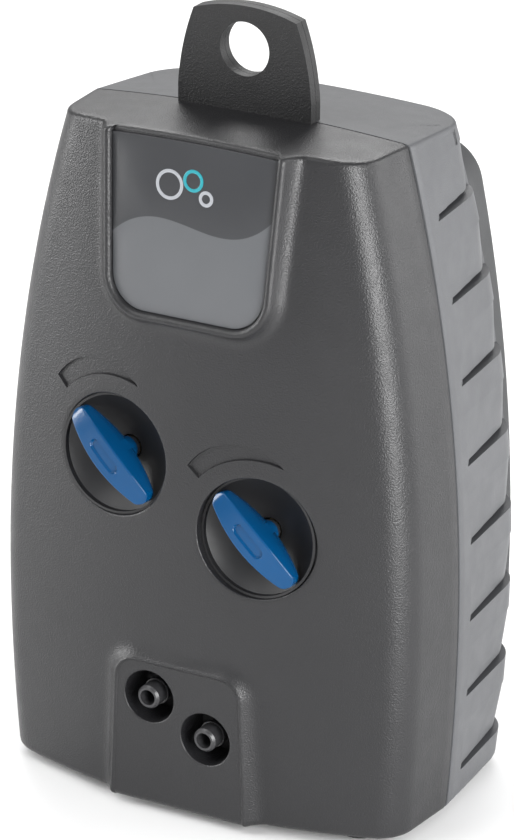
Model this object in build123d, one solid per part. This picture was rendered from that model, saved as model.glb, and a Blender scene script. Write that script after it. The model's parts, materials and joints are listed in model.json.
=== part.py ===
from build123d import *

import os
from math import cos, radians, sin, sqrt, tan

# A small two-outlet air pump for ponds and aquariums, in millimetres.
# It is modelled about the seam between its two shells: X runs to the right as seen
# from the front, the front faces -Y, the seam is the plane y = 0 and the housing's
# underside is z = 0. The last step moves every piece so that the origin is the
# centre of the footprint on the ground.

# ---------------------------------------------------------------- driving sizes
BODY_H = 140.0          # housing height at the sides
CROWN = 1.5             # how far the top is crowned at its middle
TOP_HALF_W = 35.0       # half width at which the crown has run out
HALF_W = 48.65          # widest half width of the seam
WIDEST_Z = 42.0
R_SIDE_UP = 370.0       # side curve above and below the widest point
R_SIDE_DOWN = 490.0
FRONT_PLAN_R = 123.0    # the front is a surface of revolution of this plan radius
FRONT_DRAFT = 5.5       # degrees
REAR_DRAFT = 4.5
FRONT_CORNER_R = 8.0
REAR_CORNER_R = 11.0
REAR_TOP_SLOPE = 5.5    # degrees, the rear half of the top falls to the back
FRONT_WALL = 2.2
REAR_WALL = 3.6
SEAM_GAP = 0.25         # each shell stops this far from the seam plane
SKIN = 0.6              # depth of the scale marks; inner features stop this far under the surface
BEYOND = 16.0           # how far blanks run past the housing before trimming

FOOT_DROP = 2.0
FRONT_MOST = -28.75     # the crowns of the knobs' wings
REAR_MOST = 41.0        # back of the filter cover
TO_ROW_FRAME = Location((0, -(FRONT_MOST + REAR_MOST) / 2, FOOT_DROP))

# label pad and label
PAD_TOP_Y = -21.9       # y of the pad's face at the top edge
PAD_LEAN = 5.55         # degrees
PAD_DRAFT = 38.0
LABEL_PAD = (20.2, 18.3, 36.4, 9.0)      # half widths above and below, height, corner radius
LABEL_POCKET = (18.3, 16.9, 35.6, 8.6)
LABEL_PLATE = (18.2, 16.8, 35.5, 8.4)
LABEL_RECESS = 1.0
LABEL_T = 0.5

# knobs and their wells, on a diagonal
KNOB_X = 16.28
KNOB_Y = -25.7
KNOB_Z = {-1: 73.95, 1: 62.68}
KNOB_LEAN = 4.55        # the knob faces lean back
KNOB_TURN = 2.76        # and turn outwards
WELL_R = 12.6
WELL_LIP = 1.2          # depth of the rim before the bowl starts
WELL_DEPTH = 6.8
BOWL_R = 18.6
BOWL_RIM_R = 12.0       # the bowl's side wall
COLLAR_DEPTH = 4.2      # length of the collar behind each well's opening
COLLAR_WALL = 1.6
WELL_FLANGE_T = 1.6     # the flange that seats each well behind its collar
WELL_FLOOR_T = 2.0
WING_HALF = 11.65
WING_T = 5.9
WING_END_T = 3.4
WING_TOP = 3.0          # how far the wing's middle stands proud of the rim
WING_CROWN = 2.0        # and how much lower its ends are
WING_EDGE_R = 0.4
KEEL = [(11.85, -1.9), (7.5, -3.3), (0, -3.9)]   # the wing's underside: radius, height
HUB_R = 2.7
HUB_NS = (-6.2, -2.8)   # where the hub starts and ends along the knob's axis
MARK_L = 8.0
MARK_W = 2.3
MARK_AT = 0.4
MARK_DEPTH = 0.6
KNOB_REST = 47.0        # degrees anticlockwise from upright
SPINDLE_R = 1.95
SPINDLE_NS = (-19.0, -1.5)
REGULATOR_NS = (-21.0, -13.2)
PORT_N = -17.8          # the regulator's two ports, along the knob's axis
SPINDLE_FIT = 0.02

# nozzles
NOZZLE_PAD_Y = -28.1
NOZZLE_TIP_Y = -28.6
NOZZLE_AT = {-1: (-6.6, 24.1), 1: (6.4, 17.6)}
NOZZLE_POCKET_R = 5.6
NOZZLE_POCKET_DEPTH = 8.5
NOZZLE_R = 2.5
NOZZLE_BORE_R = 1.65
NOZZLE_FLANGE_R = 4.4
NOZZLE_FLANGE_T = 1.4
POCKET_WALL = 1.5

# louvres
LOUVRES = 8
LOUVRE_PITCH = 16.7
LOUVRE_LOW_Z = 6.3
LOUVRE_RISE = 10.9
LOUVRE_DEPTH = 1.8
LOUVRE_FRONT_Y = 6.0
LOUVRE_MARGIN = 2.7     # the panels end this far short of the back
VENT_FRONT_Y = 9.0
VENT_MARGIN = 3.5
VENT_H = 1.3
VENT_INNER_X = 33.0

# hanger
HANGER_BASE_Z = 141.2
HANGER_HALF_W = 14.9
HANGER_TOP_HALF_W = 11.46
HANGER_SHOULDER = 19.9
HANGER_ARCH = 1.9
HANGER_EYE_R = 5.5
HANGER_EYE_Z = HANGER_BASE_Z + 13.05
HANGER_FRONT_Y = -2.0
HANGER_REAR_Y = 1.7
TONGUE_HALF_W = 12.0
TONGUE_Z = 131.0
HANGER_PIN_R = 1.5
HANGER_PINS = [(-8.0, 134.5), (8.0, 134.5)]

# pump module
CHASSIS_Y = 19.0        # front face of the chassis plate
CHASSIS_T = 2.5
ISOLATORS = [(x, z) for x in (-30.0, 30.0) for z in (30.0, 104.0)]
ISOLATOR_R = 5.0
ISOLATOR_L = 5.5
CORE_Z = 75.0
CORE_Y = 7.0
CORE_SIDE = 8.0
POLE_X = 14.0
POLE_H = 20.0
AIR_GAP = 2.2
MAGNET_T = 2.8
ARM_T = 3.0
PIVOT_Z = 104.0
PIVOT_R = 1.5
RUN_FIT = 0.05
PUMP_Z = 54.0
PUMP_Y = 7.0
PUMP_R = 11.5
STUD_END_X = 25.2
CHAMBER_X = (26.6, 32.0)
VALVE_PLATE_X = (32.0, 34.0)
COVER_X = (34.0, 39.0)
PORT_OFFSET = 5.0
HOSE_R = 2.5
HOSE_BORE_R = 1.6
SPIGOT_R = 1.6

# fasteners and feet
HOUSING_SCREWS = [(-36.0, 12.0), (36.0, 12.0), (-27.0, 126.0), (27.0, 126.0)]
SCREW_R = 1.5
PILLAR_R = 4.5
FEET = {"front_left": (-34.0, -13.0), "front_right": (34.0, -13.0),
        "rear_left": (-34.0, 23.0), "rear_right": (34.0, 23.0)}
FOOT_R = 4.5

# filter and cover
FILTER_HALF_W = 20.0
FILTER_Z = (58.0, 98.0)
FILTER_FLOOR_Y = 29.0
FILTER_WALL = 1.6
FILTER_SLOTS = 5
COVER_INSET = 7.8       # the cover's sides run this far inside the housing's
COVER_Z = (22.0, 129.0)
COVER_START_Y = 28.0
COVER_LOW_R = 7.0
COVER_TOP_R = 10.0
COVER_EDGE_R = 3.0
COVER_WALL = 1.8
COVER_SLOTS = 7

# mains entry
GLAND_AT = (24.0, 14.0)
GLAND_BORE_R = 2.6
GLAND_HOLE_R = 4.5
GLAND_END_Y = 40.6


# ---------------------------------------------------------------- small helpers
def half_width(z, inset=0.0):
    """Half width of the housing's side curve at height z."""
    r = R_SIDE_UP if z > WIDEST_Z else R_SIDE_DOWN
    return HALF_W - inset - r + sqrt(r * r - (z - WIDEST_Z) ** 2)


def front_y(z, inset=0.0):
    """The front's y on the centre line at height z."""
    return -26.7 - 0.0427 * z + 0.000606 * z * z + inset


def back_y(z, inset=0.0):
    """The back's y at height z: slightly bowed, leaning forward at the top."""
    return 35.7 - 0.00068 * (z - 45.0) ** 2 - inset


def box(low, high):
    """A box between two opposite corners."""
    size = [b - a for a, b in zip(low, high)]
    centre = [(a + b) / 2 for a, b in zip(low, high)]
    return Pos(*centre) * Box(*size)


def rod(radius, low, high):
    """A cylinder about the Z axis between two heights."""
    return Pos(0, 0, (low + high) / 2) * Cylinder(radius, high - low)


def along(start, end, radius):
    """A cylinder between two points."""
    start = Vector(*start)
    run = Vector(*end) - start
    return Plane(start, z_dir=run) * rod(radius, 0, run.length)


def outline(points):
    """A flat face from a closed list of corners."""
    return make_face(Polyline(*points, close=True))


def turned(profile, plane):
    """Revolve a closed (radius, height) outline about the plane's normal."""
    upright = make_face(Plane.XZ * Polyline(*profile, close=True))
    return plane * revolve(upright, Axis.Z)


def x_turned(profile, y, z):
    """Revolve a closed (radius, x) outline about the X direction through (y, z)."""
    return turned(profile, Plane((0, y, z), x_dir=(0, 1, 0), z_dir=(1, 0, 0)))


def y_turned(profile, x, z):
    """Revolve a closed (radius, y) outline about the Y direction through (x, z)."""
    return turned(profile, Plane((x, 0, z), x_dir=(1, 0, 0), z_dir=(0, 1, 0)))


def mirrored(shape, side):
    """Pieces are drawn on the right (side 1); the left ones are their mirror images."""
    return shape if side > 0 else mirror(shape, about=Plane.YZ)


def tube(points, radii, outer, inner):
    """A hose: straight runs joined by tangent arcs."""
    path = FilletPolyline(*points, radius=radii)
    section = Plane(path @ 0, z_dir=path % 0) * (Circle(outer) - Circle(inner))
    return sweep(section, path=path)


# ---------------------------------------------------------------- housing blanks
def side_outline(inset):
    """The housing seen from the front, run past its top and bottom."""
    low, high = -BEYOND, BODY_H + BEYOND

    def at(z):
        return (half_width(z, inset), z)

    right = [ThreePointArc(at(low), at((low + WIDEST_Z) / 2), at(WIDEST_Z)),
             ThreePointArc(at(WIDEST_Z), at((high + WIDEST_Z) / 2), at(high))]
    left = [mirror(edge, about=Plane.YZ) for edge in right]
    top = Line((-at(high)[0], high), at(high))
    bottom = Line((-at(low)[0], low), at(low))
    return make_face(right + left + [top, bottom])


def corner_edges(shape, near_y):
    """The long upright edges where the sides meet the front or the back."""
    upright = [e for e in shape.edges() if e.length > BODY_H / 3]
    return [e for e in upright if abs(e.center().Y - near_y) < 12 and abs(e.center().X) > 30]


def above_top(inset, slope):
    """Everything above the crowned top, which falls by slope degrees to the back."""
    reach = 70.0
    z_side = BODY_H - inset
    crown_r = (TOP_HALF_W ** 2 + CROWN ** 2) / (2 * CROWN)
    z_reach = z_side + CROWN - crown_r + sqrt(crown_r ** 2 - reach ** 2)
    arc = ThreePointArc((-reach, z_reach), (0, z_side + CROWN), (reach, z_reach))
    rim = Polyline((reach, z_reach), (reach, z_side + 40), (-reach, z_side + 40), (-reach, z_reach))
    blank = extrude(Plane.XZ * make_face([arc, rim]), amount=60, both=True)
    return Pos(0, 0, BODY_H) * Rot(-slope, 0, 0) * Pos(0, 0, -BODY_H) * blank


def front_body(inset):
    """The front half of the housing as a solid, drawn in by inset."""
    sides = extrude(Plane.XZ * side_outline(inset), amount=40, taper=FRONT_DRAFT)
    axis_y = front_y(0) + FRONT_PLAN_R
    low, high = -BEYOND, BODY_H + BEYOND
    start, middle, end = [(front_y(z, inset), z) for z in (low, BODY_H / 2, high)]
    arc = ThreePointArc(start, middle, end)
    rim = Polyline(end, (axis_y, high), (axis_y, low), start)
    barrel = revolve(Plane.YZ * make_face([arc, rim]), Axis((0, axis_y, 0), (0, 0, 1)))
    body = sides & barrel
    body = fillet(corner_edges(body, -18), FRONT_CORNER_R - inset)
    body -= above_top(inset, 0)
    return body - box((-70, -60, -60), (70, 60, inset))


def rear_body(inset):
    """The rear half of the housing as a solid, drawn in by inset."""
    sides = mirror(extrude(Plane.XZ * side_outline(inset), amount=50, taper=REAR_DRAFT), about=Plane.XZ)
    low, high = -BEYOND, BODY_H + BEYOND
    start, middle, end = [(back_y(z, inset), z) for z in (low, BODY_H / 2, high)]
    arc = ThreePointArc(start, middle, end)
    rim = Polyline(end, (-5, high), (-5, low), start)
    slab = extrude(Plane.YZ * make_face([arc, rim]), amount=70, both=True)
    body = sides & slab
    body = fillet(corner_edges(body, 33), REAR_CORNER_R - inset)
    body -= above_top(inset, REAR_TOP_SLOPE)
    return body - box((-70, -60, -60), (70, 60, inset))


# ---------------------------------------------------------------- frames of the front's features
def pad_plane():
    """The label pad's face: origin on the centre line at the top edge, x to the right."""
    lean = radians(PAD_LEAN)
    return Plane((0, PAD_TOP_Y, BODY_H), x_dir=(1, 0, 0), z_dir=(0, -cos(lean), sin(lean)))


def knob_plane(side):
    """A knob's face: origin at the rim's centre, z outwards, y up."""
    lean, turn = radians(KNOB_LEAN), radians(KNOB_TURN)
    outward = (side * sin(turn) * cos(lean), -cos(turn) * cos(lean), sin(lean))
    right = (cos(turn), side * sin(turn), 0)
    return Plane((side * KNOB_X, KNOB_Y, KNOB_Z[side]), x_dir=right, z_dir=outward)


def shield(half_top, half_low, height, corner):
    """A pad outline that runs out over the top edge and has two rounded lower corners."""
    over = 12.0
    slope = (half_top - half_low) / height
    half_over = half_top + slope * over
    face = outline([(-half_over, over), (-half_low, -height), (half_low, -height), (half_over, over)])
    return fillet(face.vertices().sort_by(Axis.Y)[:2], corner)


def nozzle_pad_outline():
    """The nozzle pad: rounded upper corners, and it runs out over the bottom edge."""
    half_low, half_high, top, corner, over = 15.9, 14.6, 32.4, 5.0, 10.0
    half_over = half_low + (half_low - half_high) / top * over
    face = outline([(-half_over, -over), (half_over, -over), (half_high, top), (-half_high, top)])
    return fillet(face.vertices().sort_by(Axis.Y)[-2:], corner)


# ---------------------------------------------------------------- front shell
def crescent():
    """The tapering scale mark round the upper left of a knob, on the knob's plane."""
    inner_r, outer_r, outer_at = 16.4, 13.4, (-3.6, 5.8)
    start = 49.0
    moon = Pos(*outer_at) * Circle(outer_r) - Circle(inner_r)
    below = Rot(0, 0, start) * Pos(-30, 0) * Rectangle(60, 120)
    return moon - below


def well_hole(side):
    """The opening in the front shell for a knob well."""
    return knob_plane(side) * Cylinder(WELL_R, 30)


def well_collar(side):
    """The short collar behind that opening."""
    return knob_plane(side) * rod(WELL_R + COLLAR_WALL, -COLLAR_DEPTH, 0)


def well_seat(side):
    """The seat cut into the shell's inside for a well's flange."""
    fit = 0.1
    radius = WELL_R + COLLAR_WALL + fit
    return knob_plane(side) * rod(radius, -COLLAR_DEPTH - WELL_FLANGE_T - fit, -COLLAR_DEPTH)


def nozzle_pocket(side, radius, depth):
    """A round pocket or its wall behind the nozzle pad."""
    x, z = NOZZLE_AT[side]
    return along((x, NOZZLE_PAD_Y, z), (x, NOZZLE_PAD_Y + depth, z), radius)


def front_shell(outer, inner):
    """The front moulding: shell, pads, collars, pockets and screw bosses."""
    label_pad = extrude(pad_plane() * shield(*LABEL_PAD), amount=-5, taper=-PAD_DRAFT)
    label_pad -= above_top(0, 0)
    nozzle_plane = Plane((0, NOZZLE_PAD_Y, 0), x_dir=(1, 0, 0), z_dir=(0, -1, 0))
    nozzle_pad = extrude(nozzle_plane * nozzle_pad_outline(), amount=-5, taper=-PAD_DRAFT)
    nozzle_pad -= box((-70, -60, -60), (70, 60, 0))
    shell = outer + label_pad + nozzle_pad - inner
    skin = front_body(SKIN)
    for side in (-1, 1):
        shell += well_collar(side) & skin
        pocket_wall = nozzle_pocket(side, NOZZLE_POCKET_R + POCKET_WALL, NOZZLE_POCKET_DEPTH + POCKET_WALL)
        shell += pocket_wall & skin
    for side in (-1, 1):
        shell -= well_hole(side) + well_seat(side)
    for side in (-1, 1):
        shell -= nozzle_pocket(side, NOZZLE_POCKET_R, NOZZLE_POCKET_DEPTH)
        shell -= nozzle_pocket(side, NOZZLE_R + 0.1, NOZZLE_POCKET_DEPTH + 5)
    pocket = extrude(pad_plane() * shield(*LABEL_POCKET), amount=-LABEL_RECESS)
    rim_at_top = box((-60, -60, BODY_H + CROWN - 1.6), (60, 0, BODY_H + 20))
    shell -= pocket - rim_at_top
    for side in (-1, 1):
        shell -= extrude(knob_plane(side) * crescent(), amount=8, both=True) - skin
    bosses = [along((x, -SEAM_GAP - 0.4, z), (x, -24, z), PILLAR_R) & skin for x, z in HOUSING_SCREWS]
    for boss in bosses:
        shell += boss
    for x, z in HOUSING_SCREWS:
        shell -= along((x, 1, z), (x, -12, z), SCREW_R)
    rib = box((-13, -7, 130.5), (13, HANGER_FRONT_Y - 0.3, BODY_H))
    shell += rib
    shell -= hanger_slot()
    for x, z in HANGER_PINS:
        shell -= along((x, -6, z), (x, 1, z), HANGER_PIN_R)
    for x, y in FEET.values():
        if y < 0:
            shell -= along((x, y, -1), (x, y, 6), 2.0)
    return shell - box((-70, -SEAM_GAP, -10), (70, 60, 170))


def label_plate():
    """The thin two-tone label plate in the pad's recess."""
    face = pad_plane() * Pos(0, 0, -LABEL_RECESS) * shield(*LABEL_PLATE)
    plate = extrude(face, amount=LABEL_T)
    return plate - box((-60, -60, BODY_H + CROWN - 1.7), (60, 0, BODY_H + 20))


# ---------------------------------------------------------------- rear shell
def louvre_plan(z, inset):
    """Plan outline of the rear half at height z, drawn in by inset."""
    half = half_width(z, inset)
    back = back_y(z, inset)
    half_back = half - back * tan(radians(REAR_DRAFT))
    face = outline([(-half - 1, -12), (half + 1, -12), (half_back, back), (-half_back, back)])
    face = fillet(face.vertices().sort_by(Axis.Y)[-2:], REAR_CORNER_R - inset)
    return Pos(0, 0, z) * face


def louvre_cut(slot_z):
    """A sloping panel sunk into both sides, deepest at its slot."""
    top_z = slot_z + LOUVRE_RISE
    back = min(back_y(slot_z), back_y(top_z))
    core = loft([louvre_plan(slot_z, LOUVRE_DEPTH), louvre_plan(top_z, 0.05)])
    cut = box((-60, LOUVRE_FRONT_Y, slot_z), (60, back - LOUVRE_MARGIN, top_z)) - core
    vent = box((-60, VENT_FRONT_Y, slot_z), (60, back - VENT_MARGIN, slot_z + VENT_H))
    return cut + vent - box((-VENT_INNER_X, -60, -60), (VENT_INNER_X, 60, 200))


def hanger_slot():
    """The slot in the top for the hanger's two tongues."""
    return box((-TONGUE_HALF_W - 0.05, HANGER_FRONT_Y - 0.05, 130),
               (TONGUE_HALF_W + 0.05, HANGER_REAR_Y + 0.05, 150))


def rear_shell(outer, inner):
    """The rear moulding: shell, louvres, screw pillars, isolator bosses and filter tray."""
    shell = outer - inner
    skin = rear_body(SKIN)
    for i in range(LOUVRES):
        shell -= louvre_cut(LOUVRE_LOW_Z + i * LOUVRE_PITCH)
    for x, z in HOUSING_SCREWS:
        shell += along((x, SEAM_GAP + 0.4, z), (x, 34, z), PILLAR_R) & skin
    for x, z in ISOLATORS:
        start_y = CHASSIS_Y + CHASSIS_T + ISOLATOR_L
        shell += along((x, start_y, z), (x, 34, z), ISOLATOR_R) & skin
    low, high = FILTER_Z
    tray_half = FILTER_HALF_W + FILTER_WALL
    tray = box((-tray_half, FILTER_FLOOR_Y - 1.5, low - FILTER_WALL), (tray_half, 34, high + FILTER_WALL))
    shell += tray & skin
    shell -= box((-FILTER_HALF_W, FILTER_FLOOR_Y, low), (FILTER_HALF_W, 45, high))
    for i in range(FILTER_SLOTS):
        z = low + 5 + i * 7.5
        shell -= box((-14, FILTER_FLOOR_Y - 5, z - 1.25), (14, FILTER_FLOOR_Y + 1, z + 1.25))
    for x, z in HOUSING_SCREWS:
        shell -= along((x, -1, z), (x, 40, z), SCREW_R + 0.15)
        shell -= along((x, 20, z), (x, 40, z), 3.0)
    for x, z in ISOLATORS:
        shell -= along((x, 20, z), (x, 31, z), SCREW_R)
    shell += box((-13, HANGER_REAR_Y + 0.3, 130.5), (13, 7, BODY_H - 1.5))
    shell -= hanger_slot()
    for x, z in HANGER_PINS:
        shell -= along((x, -1, z), (x, 6, z), HANGER_PIN_R)
    shell -= gland_hole()
    for x, y in FEET.values():
        if y > 0:
            shell -= along((x, y, -1), (x, y, 6), 2.0)
    return shell - box((-70, -60, -10), (70, SEAM_GAP, 170))


def seam_slice(inset, thickness):
    """A slice of the housing at the seam, drawn in by inset."""
    layer = extrude(Plane.XZ * side_outline(inset), amount=thickness / 2, both=True)
    layer -= above_top(inset, 0)
    return layer - box((-70, -60, -60), (70, 60, inset))


def housing_gasket():
    """The soft seal in the seam, set in a little from the outside."""
    inset, depth = 0.5, 1.5
    return seam_slice(inset, 2 * SEAM_GAP) - seam_slice(inset + depth, 2) - hanger_slot()


# ---------------------------------------------------------------- hanger
def hanger_profile():
    """The hanging tab seen from the front, with its tongue below."""
    base, shoulder = HANGER_BASE_Z - 0.9, HANGER_BASE_Z + HANGER_SHOULDER
    straight = HANGER_BASE_Z + 4.0
    right = Polyline((TONGUE_HALF_W, TONGUE_Z), (TONGUE_HALF_W, base), (HANGER_HALF_W, base),
                     (HANGER_HALF_W, straight))
    side = ThreePointArc((HANGER_HALF_W, straight), (13.75, straight + 8.3), (HANGER_TOP_HALF_W, shoulder))
    top = ThreePointArc((HANGER_TOP_HALF_W, shoulder), (0, shoulder + HANGER_ARCH),
                        (-HANGER_TOP_HALF_W, shoulder))
    foot = Line((-TONGUE_HALF_W, TONGUE_Z), (TONGUE_HALF_W, TONGUE_Z))
    left = [mirror(right, about=Plane.YZ), mirror(side, about=Plane.YZ)]
    return make_face([right, side, top, foot] + left)


def hanger_plate(y_near_seam, y_outside):
    """One of the hanger's two plates."""
    face = Plane((0, y_near_seam, 0), x_dir=(1, 0, 0), z_dir=(0, -1, 0)) * hanger_profile()
    plate = extrude(face, amount=y_near_seam - y_outside)
    plate -= along((0, -5, HANGER_EYE_Z), (0, 5, HANGER_EYE_Z), HANGER_EYE_R)
    for x, z in HANGER_PINS:
        plate -= along((x, -5, z), (x, 5, z), HANGER_PIN_R)
    return plate - under_hanger()


def under_hanger():
    """The housing's top surface, kept clear under the hanger's shoulders."""
    tongue = box((-TONGUE_HALF_W, -10, TONGUE_Z - 1), (TONGUE_HALF_W, 10, 150))
    below = box((-40, -10, 120), (40, 10, 150)) - above_top(0, 0)
    return below - tongue


def hanger_pins():
    """Two pins that lock the tongues inside the housing."""
    return [along((x, -5.5, z), (x, 5.5, z), HANGER_PIN_R - 0.02) for x, z in HANGER_PINS]


# ---------------------------------------------------------------- knobs and wells
def well(side):
    """The dark bowl that a knob turns in, with a hole for its spindle."""
    rim_out = WELL_R - 0.1
    flange_out = WELL_R + COLLAR_WALL
    flange_n = -COLLAR_DEPTH - WELL_FLANGE_T
    floor_n = -WELL_DEPTH - WELL_FLOOR_T
    profile = [(0, -WELL_LIP), (rim_out, -WELL_LIP), (rim_out, -COLLAR_DEPTH), (flange_out, -COLLAR_DEPTH),
               (flange_out, flange_n), (WELL_R, flange_n - 1.8), (8.4, floor_n), (0, floor_n)]
    bowl = Pos(0, 0, BOWL_R - WELL_DEPTH) * Sphere(BOWL_R) & rod(BOWL_RIM_R, -BOWL_R, 5)
    hole = Cylinder(SPINDLE_R + 0.65, 60)
    return turned(profile, knob_plane(side)) - knob_plane(side) * (bowl + hole)


def wing_outline():
    """The knob's lens-shaped wing seen from the front, with cut-off ends, along Y."""
    mid, end = WING_T / 2, WING_END_T / 2
    right = ThreePointArc((end, -WING_HALF), (mid, 0), (end, WING_HALF))
    left = ThreePointArc((-end, WING_HALF), (-mid, 0), (-end, -WING_HALF))
    ends = [Line((end, WING_HALF), (-end, WING_HALF)), Line((-end, -WING_HALF), (end, -WING_HALF))]
    return make_face([right, left] + ends)


def knob(side):
    """A flow knob: a crowned wing whose keel follows the bowl, a hub and a spindle socket."""
    reach = KEEL[0][0]
    top_end, top_mid = WING_TOP - WING_CROWN, WING_TOP - WING_CROWN / 4
    crown = ThreePointArc((0, WING_TOP), (reach / 2, top_mid), (reach, top_end))
    keel = ThreePointArc(*KEEL)
    sides_of_section = [Line(KEEL[2], (0, WING_TOP)), Line((reach, top_end), KEEL[0])]
    swept = revolve(Plane.XZ * make_face([crown, keel] + sides_of_section), Axis.Z)
    wing = extrude(wing_outline(), amount=15, both=True) & swept
    wing = fillet(wing.faces().sort_by(Axis.Z)[-1].edges(), WING_EDGE_R)
    hub = rod(HUB_R, *HUB_NS)
    hub = fillet(hub.edges().sort_by(Axis.Z)[-1], 0.8)
    marker_floor = Pos(0, MARK_AT, WING_TOP - MARK_DEPTH)
    marker = marker_floor * extrude(SlotOverall(MARK_L, MARK_W, rotation=90), amount=2)
    socket = rod(SPINDLE_R + SPINDLE_FIT, HUB_NS[0] - 1, SPINDLE_NS[1])
    return knob_plane(side) * Rot(0, 0, KNOB_REST) * (wing + hub - marker - socket)


def regulator_spindle(side):
    """The spindle from the knob into the regulator, with a bleed groove at its end."""
    groove = Pos(SPINDLE_R, 0, PORT_N) * Box(1.4, 6, 1.4)
    return knob_plane(side) * (rod(SPINDLE_R, *SPINDLE_NS) - groove)


def regulator_body(side):
    """The flow regulator behind a well, with a bore for the spindle and two hose spigots."""
    spigot_l, passage_r = 11.0, 0.9
    centre = (0, 0, PORT_N)
    body = rod(6, *REGULATOR_NS)
    body += along(centre, (side * spigot_l, 0, PORT_N), SPIGOT_R)
    body += along(centre, (0, -spigot_l, PORT_N), SPIGOT_R)
    body -= rod(SPINDLE_R + RUN_FIT, -19.2, -9.2)
    body -= rod(3.3, -14.8, -11.8)
    body -= along(centre, (side * (spigot_l + 1), 0, PORT_N), passage_r)
    body -= along(centre, (0, -spigot_l - 1, PORT_N), passage_r)
    return knob_plane(side) * body


def spindle_seal(side):
    """The seal ring round the spindle, in the regulator's mouth."""
    ring = Circle(3.28) - Circle(SPINDLE_R + RUN_FIT)
    return knob_plane(side) * extrude(Pos(0, 0, -14.7) * ring, amount=1.4)


# ---------------------------------------------------------------- nozzles, gland, feet, screws
def nozzle(side):
    """An air nozzle: barbed tip, flange behind the pocket's floor, and an inner hose tail."""
    x, z = NOZZLE_AT[side]
    floor = NOZZLE_PAD_Y + NOZZLE_POCKET_DEPTH + POCKET_WALL
    flange = floor + NOZZLE_FLANGE_T
    tip = NOZZLE_TIP_Y
    tail_end = floor + 9
    bore, r = NOZZLE_BORE_R, NOZZLE_R
    barb_r, tail_r = r + 0.25, r - 0.6
    profile = [(bore, tip), (r - 0.4, tip), (r, tip + 0.5), (r, tip + 3.6), (barb_r, tip + 3.6),
               (barb_r, tip + 4.4), (r, tip + 5.6), (r, floor), (NOZZLE_FLANGE_R, floor),
               (NOZZLE_FLANGE_R, flange), (tail_r, flange), (tail_r, tail_end), (bore, tail_end)]
    return y_turned(profile, x, z)


def gland_hole():
    """The round hole in the back for the gland."""
    x, z = GLAND_AT
    return along((x, 25, z), (x, 45, z), GLAND_HOLE_R)


def cord_gland():
    """The strain relief where the mains lead leaves the back."""
    x, z = GLAND_AT
    wall = back_y(z)
    bore, neck = GLAND_BORE_R, GLAND_HOLE_R - 0.1
    inner_r, outer_r = 6.0, 6.6
    inner_y = wall - REAR_WALL + 1
    profile = [(bore, wall - 7), (inner_r, wall - 7), (inner_r, inner_y), (neck, inner_y),
               (neck, wall - 1), (outer_r, wall - 1), (outer_r, wall + 1.8), (4.6, wall + 2.4),
               (3.7, GLAND_END_Y), (bore, GLAND_END_Y)]
    return y_turned(profile, x, z)


def foot(name):
    """A rubber foot with a stem pressed into the underside."""
    x, y = FEET[name]
    pad = rod(FOOT_R, -FOOT_DROP, 0)
    pad = fillet(pad.edges().sort_by(Axis.Z)[0], 0.4)
    return Pos(x, y, 0) * (pad + rod(1.95, -0.5, 3))


def housing_screws():
    """The four long screws that join the shells from behind."""
    head_y, head_end, slot_y = 20.0, 22.0, 21.2
    arm_l, arm_t = 1.4, 0.3
    screws = []
    for x, z in HOUSING_SCREWS:
        screw = along((x, head_y, z), (x, head_end, z), 2.8)
        screw += along((x, -11.8, z), (x, head_y + 0.5, z), SCREW_R - 0.02)
        screw -= box((x - arm_l, slot_y, z - arm_t), (x + arm_l, head_end + 1, z + arm_t))
        screw -= box((x - arm_t, slot_y, z - arm_l), (x + arm_t, head_end + 1, z + arm_l))
        screws.append(screw)
    return screws


# ---------------------------------------------------------------- filter
def cover_outline(inset):
    """The filter cover seen from behind: its sides follow the housing's."""
    low, high = COVER_Z
    band = Pos(0, (low + high) / 2) * Rectangle(120, high - low - 2 * inset)
    face = (side_outline(COVER_INSET + inset) & band).face()
    face = fillet(face.vertices().sort_by(Axis.Y)[:2], COVER_LOW_R - inset)
    return fillet(face.vertices().sort_by(Axis.Y)[-2:], COVER_TOP_R - inset)


def rear_filter_cover():
    """The raised cover over the intake filter, open towards the housing."""
    facing_back = Plane((0, COVER_START_Y, 0), x_dir=(-1, 0, 0), z_dir=(0, 1, 0))
    depth = REAR_MOST - COVER_START_Y
    hump = extrude(facing_back * cover_outline(0), amount=depth)
    hump = fillet(hump.faces().sort_by(Axis.Y)[-1].edges(), COVER_EDGE_R)
    cover = hump - extrude(facing_back * cover_outline(COVER_WALL), amount=depth - COVER_WALL)
    for i in range(COVER_SLOTS):
        x = (i - (COVER_SLOTS - 1) / 2) * 8
        cover -= box((x - 2.5, 30, COVER_Z[0] - 2), (x + 2.5, 38.6, COVER_Z[0] + COVER_WALL + 1))
    return cover


def intake_filter_foam():
    """The foam block in its tray."""
    gap = 0.2
    half = FILTER_HALF_W - gap
    return box((-half, FILTER_FLOOR_Y, FILTER_Z[0] + gap), (half, REAR_MOST - 2.2, FILTER_Z[1] - gap))


# ---------------------------------------------------------------- pump module, drawn on the right
def pump_chassis():
    """The plate that carries the coil, the arms' pivots and the pump chambers."""
    plate = box((-36, CHASSIS_Y, 24), (36, CHASSIS_Y + CHASSIS_T, 112))
    plate = fillet(plate.edges().filter_by(Axis.Y), 3)
    for side in (-1, 1):
        x = side * 20.5
        plate += along((x, 13.3, PIVOT_Z), (x, CHASSIS_Y + 1, PIVOT_Z), 3.6)
        plate -= along((x, 10, PIVOT_Z), (x, 25, PIVOT_Z), PIVOT_R)
        low_x, high_x = sorted((side * 11.6, side * 13.9))
        plate += box((low_x, CORE_Y + CORE_SIDE / 2, CORE_Z - 4), (high_x, CHASSIS_Y + 1, CORE_Z + 4))
    for x, z in ISOLATORS:
        plate -= along((x, 10, z), (x, 25, z), SCREW_R + 0.3)
    plate -= box((-8, CHASSIS_Y - 1, 84.8), (8, CHASSIS_Y + 5, 98))
    return plate


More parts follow.
